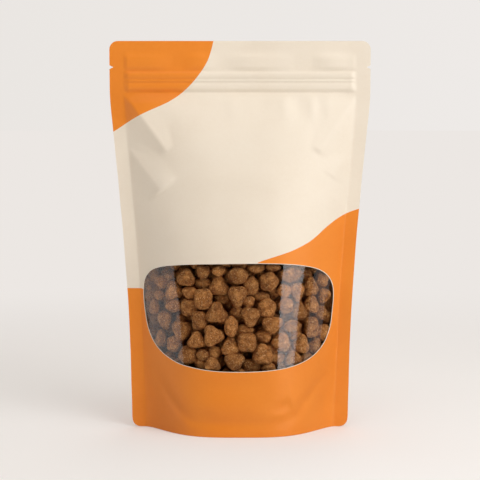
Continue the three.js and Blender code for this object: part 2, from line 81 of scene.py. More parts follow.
def monotone(table):
    xs = np.array([t[0] for t in table], float)
    ys = np.array([t[1] for t in table], float)
    h = np.diff(xs)
    d = np.diff(ys) / h
    m = np.zeros(len(xs))
    m[0], m[-1] = d[0], d[-1]
    for i in range(1, len(xs) - 1):
        if d[i - 1] * d[i] > 0:
            w1, w2 = 2 * h[i] + h[i - 1], h[i] + 2 * h[i - 1]
            m[i] = (w1 + w2) / (w1 / d[i - 1] + w2 / d[i])

    def f(v):
        v = np.clip(np.asarray(v, float), xs[0], xs[-1])
        i = np.clip(np.searchsorted(xs, v, side="right") - 1, 0, len(xs) - 2)
        t = (v - xs[i]) / h[i]
        return ((1 + 2 * t) * (1 - t) ** 2 * ys[i] + t * (1 - t) ** 2 * h[i] * m[i]
                + t * t * (3 - 2 * t) * ys[i + 1] + t * t * (t - 1) * h[i] * m[i + 1])
    return f


half_width = monotone(HALF_WIDTH)
half_depth = monotone(HALF_DEPTH)
seal_line_of = monotone(SEAL_LINE)


def seal_line(x):
    return seal_line_of(np.abs(x))


def free_half(z):
    return half_width(z) - SIDE_SEAL


def ramp(a, b, v):
    t = np.clip((np.asarray(v, float) - a) / (b - a), 0, 1)
    return t * t * (3 - 2 * t)


def smax(a, b, k):
    h = np.clip(0.5 + 0.5 * (a - b) / k, 0, 1)
    return b * (1 - h) + a * h + k * h * (1 - h)


def smin(a, b, k):
    return -smax(-a, -b, k)


def plane(p, q, r):
    """Height over (x, z) of the plane through three points (x, z, height)."""
    m = np.array([[q[0] - p[0], q[1] - p[1]], [r[0] - p[0], r[1] - p[1]]], float)
    g = np.linalg.solve(m, np.array([q[2] - p[2], r[2] - p[2]], float))
    return lambda x, z: p[2] + g[0] * (x - p[0]) + g[1] * (z - p[1])


def bump(x, z, cx, cz, rx, rz, turn=0.0):
    """A smooth round hill of height 1, with half sizes rx and rz, turned by an angle in degrees."""
    t = math.radians(turn)
    dx, dz = x - cx, z - cz
    a = (dx * math.cos(t) + dz * math.sin(t)) / rx
    b = (-dx * math.sin(t) + dz * math.cos(t)) / rz
    return np.exp(-(a * a + b * b) * 1.6)


def waves(x, z, seed, scale):
    """Smooth wandering relief between about -1 and 1, the same every run."""
    rng = np.random.RandomState(seed)
    out = np.zeros_like(np.asarray(x, float) + np.asarray(z, float))
    n = 9
    for i in range(n):
        a = rng.uniform(0, 2 * math.pi)
        f = rng.uniform(0.6, 1.5) * 2 * math.pi / scale
        out = out + np.sin(f * (x * math.cos(a) + z * math.sin(a)) + rng.uniform(0, 6.28))
    return out / math.sqrt(n) / 1.4


def along(x, z, path, width):
    """1 on a line through points (x, z, weight), falling to 0 at width away from it, times the weight there."""
    best = np.full(np.broadcast(x, z).shape, 1e9)
    wt = np.zeros_like(best)
    for (x0, z0, w0), (x1, z1, w1) in zip(path, path[1:]):
        dx, dz = x1 - x0, z1 - z0
        t = np.clip(((x - x0) * dx + (z - z0) * dz) / (dx * dx + dz * dz), 0, 1)
        d = np.hypot(x - x0 - t * dx, z - z0 - t * dz)
        near = d < best
        best = np.where(near, d, best)
        wt = np.where(near, w0 + t * (w1 - w0), wt)
    return np.exp(-(best / width) ** 2 * 1.6) * wt


def zip_relief(x, z):
    """The bead of the zip under the film: two bands with a fine ridge between grooves."""
    prof = [(259.8, 0), (261.1, 0.35), (261.9, 1.1), (262.8, 1.42), (264.2, 1.6), (265.8, 1.5), (267.0, 1.22), (267.6, 0.82),
            (268.1, 0.95), (268.7, 1.5), (269.4, 1.5), (269.9, 1.0), (270.4, 0.86), (271.0, 1.25), (272.2, 1.55), (273.8, 1.6),
            (275.0, 1.4), (275.7, 0.75), (276.3, 0.15), (277.0, 0)]
    e = 1 - ramp(85.0, 90.1, np.abs(x))
    r = np.interp(z, [p[0] for p in prof], [p[1] for p in prof])
    return 1.12 * r * e


# Creased shoulders hang from the ends of the zip.  Each is a crest, the lower of two planes, that
# stands out of the smooth form from its start to its end and meets it again in a valley.
def crest(start, end, low, high, k, fade, gain=1.5, stop=1.0):
    a, b = plane(start, end, low), plane(start, end, high)
    dx, dz = end[0] - start[0], end[1] - start[1]
    length = math.hypot(dx, dz)
    dx, dz = dx / length, dz / length
    inward = -math.copysign(1, start[0])

    def excess(x, z, body):
        t = ((x - start[0]) * dx + (z - start[1]) * dz) / length
        n = ((x - start[0]) * -dz + (z - start[1]) * dx) * inward
        e = smin(a(x, z), b(x, z), k) - 0.3 - body
        e = np.maximum(smax(e, 0 * e, 0.35) - 0.35 * 0.25 * np.exp(-(e / 0.35) ** 2), 0)
        return np.minimum(e, 4) * gain * ramp(1.0, 11.0, 262.0 - z) * (1 - ramp(stop, stop + 0.09, t)) * (1 - ramp(fade * 0.2, fade, n))
    return excess


CRESTS = [
    crest((-90.0, 260.5, 0.3), (-57.6, 218.0, 15.0), (-86.6, 220.5, 0.2), (-62, 243, 8.2), 0.45, 30),
    crest((-86.2, 218.0, 0.3), (-61.5, 186.5, 17.2), (-82.6, 180.0, 0.5), (-70.0, 215.0, 8.8), 0.6, 18),
    crest((90.0, 260.0, 0.3), (60.8, 217.0, 14.2), (86.8, 223.5, 0.2), (64, 243, 7.8), 0.5, 28, 1.0),
    crest((86.0, 217.5, 0.3), (71.5, 196.5, 9.6), (84.0, 190.0, 0.3), (74.0, 215.0, 6.7), 0.5, 14, 0.9),
    crest((82.9, 191.5, 0.3), (74.0, 178.0, 7.3), (81.9, 172.0, 0.3), (75.5, 190.0, 5.6), 0.5, 10, 0.9),
]
BACK_CRESTS = [
    crest((sx * 90.0, 260.2, 0.3), (sx * 62.0, 221.0, 13.6), (sx * 87.0, 224.0, 0.2), (sx * 64, 244, 7.8), 1.6, 28, 1.0) for sx in (-1, 1)
]


def bulge(x, z, creased=True, side=-1):
    """Distance of a panel's outer face from the middle plane."""
    x = np.asarray(x, float)
    z = np.asarray(z, float)
    ax = np.abs(x)
    c = free_half(z)
    u = np.clip(ax / c, 0, 1)
    s = ramp(5, 70, z)
    p, q = 3.5 - 0.9 * s, 1.7 - 0.62 * s
    ply = 0.82 - 0.52 * ramp(52, 62, z)
    body = half_depth(z) * (1 - u ** p) ** q
    if creased:
        inside = ramp(0, 0.06, 1 - u)
        for c_ in CRESTS if side < 0 else BACK_CRESTS:
            body = body + c_(x, z, body)
        # soft pleats where the film gathers under the zip
        near_zip = np.exp(-((z - 250.5) / 9.5) ** 2) * ramp(0, 5, 261 - z)
        pl = 0.0
        for cx, w, a in ((-5, 5.5, 0.5), (-31, 8, -0.35), (17, 7, -0.4), (34, 4.5, 0.6), (44, 5, -0.45), (55, 3.8, 0.65), (67, 4.5, 0.4), (-52, 7, 0.3)):
            k = side * -1
            pl = pl + a * np.exp(-((x * k - cx - (255 - z) * 0.02 * cx / 30) / w) ** 2)
        body = body + 1.5 * pl * near_zip * inside
        # the seal that holds the gusset: a shallow valley along its line, and the film pressed out above it
        zu = seal_line(x)
        front = ramp(0, 0.35, 1 - u)
        body = body - (1.25 * np.exp(-((z - zu) / 4.8) ** 2)) * front * (1 - 0.35 * ramp(30, 60, ax))
        body = body + 0.55 * np.exp(-((z - zu - 13) / 9) ** 2) * front
        if side < 0:
            body = body - 1.5 * bump(x, z, 31.5, 22.5, 10, 5.2, 18) + 1.15 * along(x, z, [(37.5, 38, 0.1), (39.5, 28, 0.9), (42.3, 18.5, 1.0), (43.5, 15, 0.3)], 3.2)
            body = body - 0.85 * along(x, z, [(46, 23, 0.8), (55, 32, 1), (64, 40.5, 0.6)], 4.0)
            body = body - 0.7 * bump(x, z, -26, 16.5, 12, 5, -6)
            body = body + 0.35 * bump(x, z, 72.5, 42.0, 2.6, 1.6, 0) + 0.3 * along(x, z, [(69.5, 66.5, 0.2), (73.0, 67.0, 1), (75.0, 66.2, 0.6)], 1.2)
        else:
            body = body - 0.9 * bump(x, z, -30, 20, 12, 5, -10) - 0.8 * bump(x, z, 24, 18, 12, 5, 8)
        # slow hand-made unevenness of a filled film, less where the window's film is drawn over the food
        calm = ramp(0.98, 1.3, ((np.abs(x) / 74.0) ** 4 + (np.abs(z - 91.0) / 41.0) ** 4) ** 0.25) if side < 0 else 1.0
        body = body + inside * (0.1 + 0.9 * calm) * (0.55 * waves(x, z, 11 + side, 80) + 0.24 * waves(x, z, 23 + side, 34)) * ramp(0, 14, body) * ramp(2, 16, z)
        body = np.maximum(body, 0)
        # the two loose plies of the header, between the zip and the top seal
        head = ramp(276.5, 279.5, z) * (1 - ramp(286, 291.5, z)) * (1 - ramp(86, 90, ax))
        hx = 0.34 * np.sin(x / 7.9 + 0.6 * side) + 0.42 * np.sin(x / 13.1 + 1.1) + 0.3 * np.sin(x / 5.3 + 2.0 + side)
        body = body + head * np.clip(0.7 + 1.25 * hx, 0, 3.4)
    bead = zip_relief(x, z) * (1 + (0.05 * waves(x, z, 5, 60) if creased else 0))
    return ply + np.maximum(body, bead)


def drift(x, z):
    """How far the middle plane itself wanders: the header and the seals are not quite flat."""
    x = np.asarray(x, float)
    z = np.asarray(z, float)
    top = ramp(235, 299, z)
    edge = ramp(0.8, 1.0, np.abs(x) / half_width(z)) * ramp(20, 70, z)
    return top * (0.9 * np.sin(x / 34.0 + 0.5) + 0.45 * np.sin(x / 15.5 + 1.7)) + edge * (0.8 * np.sin(z / 27.0 + np.sign(x)) + 0.35 * np.sin(z / 11.0 + 2 * np.sign(x)))

# ------------------------------------------------------------------ outlines on the front, in mm
WINDOW = [(-40.8, 130), (-30.1, 130.7), (-9, 131.2), (12.4, 131.4), (33.5, 130.6), (49.8, 128.4), (60.9, 124.8),
          (67.7, 119.4), (71.2, 112.8), (72.2, 104.1), (71.3, 92.4), (69.8, 80.9), (65.7, 69.8), (60, 62.6),
          (52.1, 57.2), (39.1, 53.1), (22.9, 51), (1.8, 50.2), (-19.4, 50.7), (-35.5, 52.5), (-48.5, 55.4),
          (-59.7, 61.5), (-66.5, 68.9), (-71.1, 79.1), (-73.3, 90.6), (-74.4, 99.8), (-74.5, 109.3),
          (-73.7, 115.6), (-71.3, 120.6), (-67.2, 124.5), (-60.5, 127.2), (-51.7, 128.8)]
# where the orange field of the top corner meets the cream, from the top edge to the left edge
TOP_FIELD = [(-20.0, 301.5), (-20.6, 298.5), (-22.2, 292.2), (-24.8, 284.6), (-29.0, 277.4), (-34.2, 270.4), (-40.8, 263.3), (-47.6, 257.6),
             (-55.4, 252.7), (-63.0, 249.2), (-70.6, 245.9), (-78.0, 242.3), (-85.6, 237.9), (-93.0, 233.0), (-98.3, 229.6), (-102, 227.2)]
# and where the lower orange field begins, from the right edge to the left
LOW_FIELD = [(96.5, 172.3), (92.1, 170.6), (86.8, 168.9), (81.4, 166.7), (75.6, 163.8), (69.6, 159.9), (64.0, 155.6), (59.0, 151.3), (53.6, 147.4),
             (46.8, 143.8), (39.7, 140.7), (33.5, 138.6), (27.1, 136.7), (19.5, 134.4), (12.1, 131.9), (0, 128), (-40, 114),
             (-73.0, 108.9), (-76.0, 108.8), (-88.0, 108.8), (-92, 108.8)]


def smooth_path(points, step, closed=False):
    """Catmull-Rom (centripetal) through the points, resampled every step mm."""
    p = np.array(points, float)
    n = len(p)
    out = []
    last = n if closed else n - 1
    for i in range(last):
        if closed:
            q = [p[(i - 1) % n], p[i], p[(i + 1) % n], p[(i + 2) % n]]
        else:
            q = [p[i - 1] if i else 2 * p[0] - p[1], p[i], p[i + 1], p[i + 2] if i + 2 < n else 2 * p[-1] - p[-2]]
        t = [0.0]
        for a, b in zip(q, q[1:]):
            t.append(t[-1] + max(np.linalg.norm(b - a), 1e-6) ** 0.5)
        for s in np.linspace(t[1], t[2], 24, endpoint=False):
            a1 = (t[1] - s) / (t[1] - t[0]) * q[0] + (s - t[0]) / (t[1] - t[0]) * q[1]
            a2 = (t[2] - s) / (t[2] - t[1]) * q[1] + (s - t[1]) / (t[2] - t[1]) * q[2]
            a3 = (t[3] - s) / (t[3] - t[2]) * q[2] + (s - t[2]) / (t[3] - t[2]) * q[3]
            b1 = (t[2] - s) / (t[2] - t[0]) * a1 + (s - t[0]) / (t[2] - t[0]) * a2
            b2 = (t[3] - s) / (t[3] - t[1]) * a2 + (s - t[1]) / (t[3] - t[1]) * a3
            out.append((t[2] - s) / (t[2] - t[1]) * b1 + (s - t[1]) / (t[2] - t[1]) * b2)
    if not closed:
        out.append(p[-1])
    out = np.array(out)
    if closed:
        out = np.vstack([out, out[:1]])
    d = np.concatenate([[0], np.cumsum(np.hypot(*np.diff(out, axis=0).T))])
    m = max(int(round(d[-1] / step)), 3)
    s = np.linspace(0, d[-1], m + 1)
    r = np.stack([np.interp(s, d, out[:, 0]), np.interp(s, d, out[:, 1])], 1)
    return r[:-1] if closed else r


def grown(path, by):
    """A closed path moved outward by a distance."""
    p = np.asarray(path)
    t = np.roll(p, -1, 0) - np.roll(p, 1, 0)
    t /= np.linalg.norm(t, axis=1)[:, None]
    area = 0.5 * np.sum(p[:, 0] * np.roll(p[:, 1], -1) - np.roll(p[:, 0], -1) * p[:, 1])
    n = np.stack([t[:, 1], -t[:, 0]], 1) * (1 if area > 0 else -1)
    return p + n * by


def within(points, polygon):
    """Which points lie inside a closed polygon."""
    x, y = points[:, 0], points[:, 1]
    inside = np.zeros(len(points), bool)
    a = np.asarray(polygon)
    b = np.roll(a, -1, 0)
    for (x0, y0), (x1, y1) in zip(a, b):
        if y0 == y1:
            continue
        hit = ((y0 > y) != (y1 > y)) & (x < (x1 - x0) * (y - y0) / (y1 - y0) + x0)
        inside ^= hit
    return inside


def distance_to(points, path, closed):
    a = np.asarray(path)
    b = np.roll(a, -1, 0) if closed else a[1:]
    a = a if closed else a[:-1]
    best = np.full(len(points), 1e9)
    for s in range(0, len(points), 4000):
        p = points[s:s + 4000, None, :]
        d = b - a
        t = np.clip(((p - a) * d).sum(2) / (d * d).sum(1), 0, 1)
        q = a + t[..., None] * d
        best[s:s + 4000] = np.sqrt(((p - q) ** 2).sum(2)).min(1)
    return best


def silhouette(step):
    """The pouch's outline seen flat on, with rounded corners and tear notches."""
    right = []
    w0, w1 = float(half_width(0)), float(half_width(HEIGHT))
    for i in range(9):
        a = -math.pi / 2 + i / 8 * math.pi / 2
        right.append((w0 - CORNER_R + CORNER_R * math.cos(a), CORNER_R + CORNER_R * math.sin(a)))
    zs = np.arange(CORNER_R + step, 277.6, step)
    right += [(float(half_width(z)), float(z)) for z in zs if z < 276.9]
    right += [(w1, 277.9), (w1 - 0.1, 278.05), (w1 - 1.5, 278.85), (w1 - 2.8, 279.4), (w1 - 2.95, 279.5), (w1 - 2.8, 279.6),
              (w1 - 1.5, 280.15), (w1 - 0.1, 280.95), (w1, 281.1)]
    right += [(w1, float(z)) for z in np.arange(282.2, HEIGHT - CORNER_R - 0.4, step)]
    for i in range(9):
        a = i / 8 * math.pi / 2
        right.append((w1 - CORNER_R + CORNER_R * math.cos(a), HEIGHT - CORNER_R + CORNER_R * math.sin(a)))
    top = [(float(x), HEIGHT) for x in np.arange(w1 - CORNER_R - step, -(w1 - CORNER_R) + step * 0.6, -step)]
    left = [(-x, z) for x, z in reversed(right)]
    bottom = [(float(x), 0.0) for x in np.arange(-(w0 - CORNER_R) + step, (w0 - CORNER_R) - step * 0.6, step)]
    return np.array(right + top + left + bottom)


def grid_points(rows, shares, z_step_seal=1.3):
    pts = []
    for j, z in enumerate(rows):
        c, w = float(free_half(z)), float(half_width(z))
        sh = shares if j % 2 == 0 else 0.5 * (shares[1:] + shares[:-1])
        xs = sh * c
        seal = np.arange(c + (0.65 if j % 2 else 1.3), w - 0.3, 1.3)
        xs = np.concatenate([-seal[::-1], xs, seal])
        pts.append(np.stack([xs, np.full(len(xs), z)], 1))
    return np.vstack(pts)


def triangulate(outline, holes, lines, points, clear_of):
    """Constrained Delaunay triangles of the outline less the holes.  Lines are kept as edges."""
    keep = within(points, outline)
    for path, closed, gap in clear_of:
        keep &= distance_to(points, path, closed) > gap
    points = points[keep]
    for h in holes:
        points = points[~within(points, h)]
    verts = [tuple(p) for p in points]
    edges = []
    for path, closed in [(outline, True)] + [(h, True) for h in holes] + lines:
        s = len(verts)
        verts += [tuple(p) for p in path]
        n = len(path)
        edges += [(s + i, s + (i + 1) % n) for i in range(n if closed else n - 1)]
    co, _, faces, *_ = delaunay_2d_cdt([Vector(v) for v in verts], edges, [], 0, 1e-6)
    co = np.array([(v[0], v[1]) for v in co])
    faces = np.array([f for f in faces if len(f) == 3])
    mid = co[faces].mean(1)
    ok = within(mid, outline)
    for h in holes:
        ok &= ~within(mid, h)
    faces = faces[ok]
    a, b, c = co[faces[:, 0]], co[faces[:, 1]], co[faces[:, 2]]
    cross = (b[:, 0] - a[:, 0]) * (c[:, 1] - a[:, 1]) - (b[:, 1] - a[:, 1]) * (c[:, 0] - a[:, 0])
    faces = faces[np.abs(cross) > 1e-9]
    cross = cross[np.abs(cross) > 1e-9]
    faces[cross < 0] = faces[cross < 0][:, ::-1]
    used = np.unique(faces)
    back = np.full(len(co), -1)
    back[used] = np.arange(len(used))
    return co[used], back[faces]


def rim_edges(faces):
    """Directed edges that only one face has."""
    e = np.vstack([faces[:, [0, 1]], faces[:, [1, 2]], faces[:, [2, 0]]])
    key = {}
    for a, b in e:
        key[(a, b)] = True
    return [(a, b) for a, b in key if (b, a) not in key]


def vertex_normals(co, faces):
    n = np.cross(co[faces[:, 1]] - co[faces[:, 0]], co[faces[:, 2]] - co[faces[:, 0]])
    out = np.zeros_like(co)
    for k in range(3):
        np.add.at(out, faces[:, k], n)
    return out / np.maximum(np.linalg.norm(out, axis=1), 1e-12)[:, None]


def new_mesh(name, co, faces, smooth=True):
    me = bpy.data.meshes.new(name)
    me.vertices.add(len(co))
    me.vertices.foreach_set("co", (np.asarray(co, np.float64) * MM).astype(np.float32).ravel())
    faces = np.asarray(faces)
    n, k = faces.shape
    me.loops.add(n * k)
    me.polygons.add(n)
    me.polygons.foreach_set("loop_start", np.arange(0, n * k, k, dtype=np.int32))
    me.loops.foreach_set("vertex_index", faces.astype(np.int32).ravel())
    me.update(calc_edges=True)
    me.validate()
    if smooth:
        me.polygons.foreach_set("use_smooth", np.ones(len(me.polygons), bool))
    o = bpy.data.objects.new(name, me)
    scene.collection.objects.link(o)
    return o


def shell(name, co, faces, thick, zone=None, flip=False):
    """A closed shell: the outer face through co, the inner face thick further in."""
    nrm = vertex_normals(co, faces)
    if flip:
        faces = faces[:, ::-1]
        nrm = -nrm
    inner = co - nrm * thick
    n = len(co)
    rim = rim_edges(faces)
    walls = [(b, a, a + n) for a, b in rim] + [(b, a + n, b + n) for a, b in rim]
    allf = np.vstack([faces, faces[:, ::-1] + n, np.array(walls)])
    o = new_mesh(name, np.vstack([co, inner]), allf)
    if zone is not None:
        # each wall takes the zone of the face it stands on
        of_edge = {}
        for f, zz in zip(faces, zone):
            for a, b in ((f[0], f[1]), (f[1], f[2]), (f[2], f[0])):
                of_edge[(a, b)] = zz
        wz = [of_edge[(a, b)] for a, b in rim]
        inner_zone = zone if INSIDE_ZONE is None else np.full(len(zone), INSIDE_ZONE)
        mats = np.concatenate([zone, inner_zone, wz, wz]).astype(np.int32)
        o.data.polygons.foreach_set("material_index", mats)
    # sharp rims: the cut edge of the film isn't rounded over
    sharp = o.data.attributes.new("sharp_edge", "BOOLEAN", "EDGE")
    me = o.data
    ev = np.zeros(len(me.edges) * 2, np.int32)
    me.edges.foreach_get("vertices", ev)
    ev = ev.reshape(-1, 2)
    rimset = {(min(a, b), max(a, b)) for a, b in rim} | {(min(a, b) + n, max(a, b) + n) for a, b in rim}
    flags = np.array([(min(a, b), max(a, b)) in rimset for a, b in ev])
    sharp.data.foreach_set("value", flags)
    return o


INSIDE_ZONE = 2

ROW = 1.5
rows = np.concatenate([np.arange(ROW, 258.6, ROW), np.arange(258.9, 277.6, 0.45), np.arange(278.6, HEIGHT - 0.4, ROW)])
t = np.linspace(-1, 1, 119)
SHARES = np.sign(t) * (1 - (1 - np.abs(t)) ** 1.22)  # closer together towards the seals, where the film turns
SHARES[0], SHARES[-1] = -1, 1
grid = grid_points(rows, SHARES)
outline = silhouette(1.3)
win = smooth_path(WINDOW, 1.15, closed=True)
ring = grown(win, 0.42)
ring2 = grown(win, 2.3)
top_line = smooth_path(TOP_FIELD, 1.2)
low_line = smooth_path(LOW_FIELD, 1.2)
low_line = low_line[~within(low_line, grown(win, 0.0))]
cut = int(np.argmax(np.hypot(*np.diff(low_line, axis=0).T))) + 1
low_right, low_left = low_line[:cut], low_line[cut:]


def to_outline(part, inner_first):
    """A boundary line that ends at the window: its last point is put on the window's ring."""
    end = part[-1] if not inner_first else part[0]
    k = int(np.argmin(np.hypot(*(ring - end).T)))
    return np.vstack([part, ring[k:k + 1]]) if not inner_first else np.vstack([ring[k:k + 1], part])


low_right = low_right[distance_to(low_right, ring, True) > 0.7]
low_left = low_left[distance_to(low_left, ring, True) > 0.7]
low_right = to_outline(low_right, False)
low_left = to_outline(low_left, True)
seal_l = np.array([(-float(free_half(z)), z) for z in np.arange(3, 298, 1.6)])
seal_r = seal_l * [-1, 1]


def clip_line(path):
    """The part of an open line inside the outline, with its ends just beyond it."""
    ins = within(path, outline)
    i = np.where(ins)[0]
    a, b = max(i[0] - 1, 0), min(i[-1] + 1, len(path) - 1)
    return path[a:b + 1]


def zones(mid, with_ring):
    """0 orange, 1 cream, 2 the film's plain inside."""
    z = np.ones(len(mid), int)
    top_poly = np.vstack([top_line, [(-130, 227.2), (-130, 330), (-20, 330)]])
    low_poly = np.vstack([smooth_path(LOW_FIELD, 1.2), [(-130, 108.8), (-130, -20), (130, -20), (130, 172.3)]])
    z[within(mid, top_poly)] = 0
    z[within(mid, low_poly)] = 0
    if with_ring:
        z[within(mid, ring)] = 1
    return z


def build_panel(name, side, windowed):
    lines = [(clip_line(top_line), False), (clip_line(seal_l), False), (clip_line(seal_r), False)]
    near = [(outline, True, 0.62), (top_line, False, 0.55), (seal_l, False, 0.5), (seal_r, False, 0.5)]
    holes = []
    if windowed:
        holes = [win]
        lines += [(ring, True), (low_right, False), (low_left, False)]
        near += [(win, True, 0.75), (ring, True, 0.6), (low_right, False, 0.55), (low_left, False, 0.55)]
    else:
        full_low = smooth_path(LOW_FIELD, 1.2)
        lines += [(clip_line(full_low), False)]
        near += [(full_low, False, 0.55)]
    co2, faces = triangulate(outline, holes, lines, grid, near)
    x, z = co2[:, 0], co2[:, 1]
    y = side * bulge(x, z, True, side) + drift(x, z)
    co = np.stack([x, y, z], 1)
    zn = zones(co2[faces].mean(1), windowed)
    o = shell(name, co, faces, FILM * 0.9, zn, flip=side > 0)
    return o


front = build_panel("front_panel_film", -1, True)
back = build_panel("back_panel_film", 1, False)
print("front", len(front.data.polygons), "back", len(back.data.polygons))

# ------------------------------------------------------------------ materials
def srgb(r, g, b):
    f = lambda v: v / 12.92 if v <= 0.04045 else ((v + 0.055) / 1.055) ** 2.4
    return (f(r / 255), f(g / 255), f(b / 255), 1.0)


def nodes_of(name):
    m = bpy.data.materials.new(name)
    m.use_nodes = True
    nt = m.node_tree
    p = next(n for n in nt.nodes if n.type == "BSDF_PRINCIPLED")
    return m, nt, p


def link(nt, a, b):
    nt.links.new(a, b)


def noise_node(nt, scale, detail, coords, rough=0.5):
    n = nt.nodes.new("ShaderNodeTexNoise")
    n.inputs["Scale"].default_value = scale
    n.inputs["Detail"].default_value = detail
    n.inputs["Roughness"].default_value = rough
    link(nt, coords, n.inputs["Vector"])
    return n


def film_material(name, colour, tint_dark, tint_light, rough=0.47):
    """Matte printed laminate: ink with a faint wandering tone, a fine orange-peel surface and soft handling marks."""
    m, nt, p = nodes_of(name)
    tc = nt.nodes.new("ShaderNodeTexCoord")
    pos = tc.outputs["Object"]
    broad = noise_node(nt, 22.0, 4.0, pos)
    fine = noise_node(nt, 420.0, 5.0, pos, 0.6)
    mixf = nt.nodes.new("ShaderNodeMath"); mixf.operation = "MULTIPLY_ADD"
    link(nt, fine.outputs["Fac"], mixf.inputs[0]); mixf.inputs[1].default_value = 0.35
    link(nt, broad.outputs["Fac"], mixf.inputs[2])
    cr = nt.nodes.new("ShaderNodeValToRGB")
    cr.color_ramp.elements[0].position, cr.color_ramp.elements[0].color = 0.42, tint_dark
    cr.color_ramp.elements[1].position, cr.color_ramp.elements[1].color = 0.92, tint_light
    mid = cr.color_ramp.elements.new(0.66); mid.color = colour
    link(nt, mixf.outputs[0], cr.inputs["Fac"])
    link(nt, cr.outputs["Color"], p.inputs["Base Color"])
    rr = nt.nodes.new("ShaderNodeMapRange")
    rr.inputs["From Min"].default_value, rr.inputs["From Max"].default_value = 0.3, 0.7
    rr.inputs["To Min"].default_value, rr.inputs["To Max"].default_value = rough - 0.05, rough + 0.07
    link(nt, broad.outputs["Fac"], rr.inputs["Value"])
    link(nt, rr.outputs["Result"], p.inputs["Roughness"])
    peel = noise_node(nt, 900.0, 3.0, pos)
    soft = noise_node(nt, 75.0, 3.0, pos, 0.55)
    add = nt.nodes.new("ShaderNodeMath"); add.operation = "MULTIPLY_ADD"
    link(nt, soft.outputs["Fac"], add.inputs[0]); add.inputs[1].default_value = 2.2
    link(nt, peel.outputs["Fac"], add.inputs[2])
    b = nt.nodes.new("ShaderNodeBump")
    b.inputs["Strength"].default_value = 0.22
    b.inputs["Distance"].default_value = 0.00022
    link(nt, add.outputs[0], b.inputs["Height"])
    link(nt, b.outputs["Normal"], p.inputs["Normal"])
    p.inputs["Specular IOR Level"].default_value = 0.42
    p.inputs["Sheen Weight"].default_value = 0.06
    p.inputs["Sheen Roughness"].default_value = 0.5
    return m


ORANGE = film_material("orange_print", srgb(243, 141, 38), srgb(240, 137, 34), srgb(246, 146, 43))
CREAM = film_material("cream_print", srgb(241, 231, 214), srgb(238, 227, 209), srgb(243, 234, 218))


def inside_material():
    m, nt, p = nodes_of("film_inside")
    tc = nt.nodes.new("ShaderNodeTexCoord")
    n = noise_node(nt, 60.0, 5.0, tc.outputs["Object"])
    cr = nt.nodes.new("ShaderNodeValToRGB")
    cr.color_ramp.elements[0].color = srgb(150, 118, 84)
    cr.color_ramp.elements[1].color = srgb(184, 152, 116)
    link(nt, n.outputs["Fac"], cr.inputs["Fac"])
    link(nt, cr.outputs["Color"], p.inputs["Base Color"])
    r = nt.nodes.new("ShaderNodeMapRange")
    r.inputs["To Min"].default_value, r.inputs["To Max"].default_value = 0.28, 0.42
    link(nt, n.outputs["Fac"], r.inputs["Value"])
    link(nt, r.outputs["Result"], p.inputs["Roughness"])
    return m


INSIDE = inside_material()
for o in (front, back):
    for m in (ORANGE, CREAM, INSIDE):
        o.data.materials.append(m)
    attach(o, "root")
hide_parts("front_panel")
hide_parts("back_panel")


def clear_material():
    """Clear film: see-through, with a mirror share that grows towards the edge of sight."""
    m, nt, p = nodes_of("clear_film")
    nt.nodes.remove(p)
    out = next(n for n in nt.nodes if n.type == "OUTPUT_MATERIAL")
    lw = nt.nodes.new("ShaderNodeLayerWeight")
    lw.inputs["Blend"].default_value = 0.5
    pw = nt.nodes.new("ShaderNodeMath"); pw.operation = "POWER"; pw.inputs[1].default_value = 4.0
    link(nt, lw.outputs["Facing"], pw.inputs[0])
    fr = nt.nodes.new("ShaderNodeMath"); fr.operation = "MULTIPLY_ADD"
    link(nt, pw.outputs[0], fr.inputs[0]); fr.inputs[1].default_value = 0.75; fr.inputs[2].default_value = 0.034
    tc = nt.nodes.new("ShaderNodeTexCoord")
    n = noise_node(nt, 55.0, 2.0, tc.outputs["Object"])
    b = nt.nodes.new("ShaderNodeBump"); b.inputs["Strength"].default_value = 0.35; b.inputs["Distance"].default_value = 0.0006
    link(nt, n.outputs["Fac"], b.inputs["Height"])
    g = nt.nodes.new("ShaderNodeBsdfGlossy"); g.inputs["Roughness"].default_value = 0.07
    g.inputs["Color"].default_value = (1, 1, 1, 1)
    link(nt, b.outputs["Normal"], g.inputs["Normal"])
    tr = nt.nodes.new("ShaderNodeBsdfTransparent"); tr.inputs["Color"].default_value = (0.985, 0.985, 0.98, 1)
    mx = nt.nodes.new("ShaderNodeMixShader")
    link(nt, fr.outputs[0], mx.inputs["Fac"]); link(nt, tr.outputs[0], mx.inputs[1]); link(nt, g.outputs[0], mx.inputs[2])
    link(nt, mx.outputs[0], out.inputs["Surface"])
    return m


CLEAR = clear_material()

# ------------------------------------------------------------------ the window's clear film
lap = grown(win, 5.5)
lap[:, 0] = np.clip(lap[:, 0], -float(free_half(100)) + 0.75, float(free_half(100)) - 0.75)
lap_pts = grid[(grid[:, 1] > 40) & (grid[:, 1] < 142)]
co2, faces = triangulate(lap, [], [(win, True)], lap_pts, [(lap, True, 0.6), (win, True, 0.5)])
x, z = co2[:, 0], co2[:, 1]
co = np.stack([x, -bulge(x, z, True, -1) + drift(x, z), z], 1)
nrm = vertex_normals(co, faces)
film = shell("window_clear_film", co - nrm * (FILM * 0.9 + 0.06), faces, 0.1)
film.data.materials.append(CLEAR)
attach(film, "root"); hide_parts("window_film")

# ------------------------------------------------------------------ gusset
GUSSET = 52.0


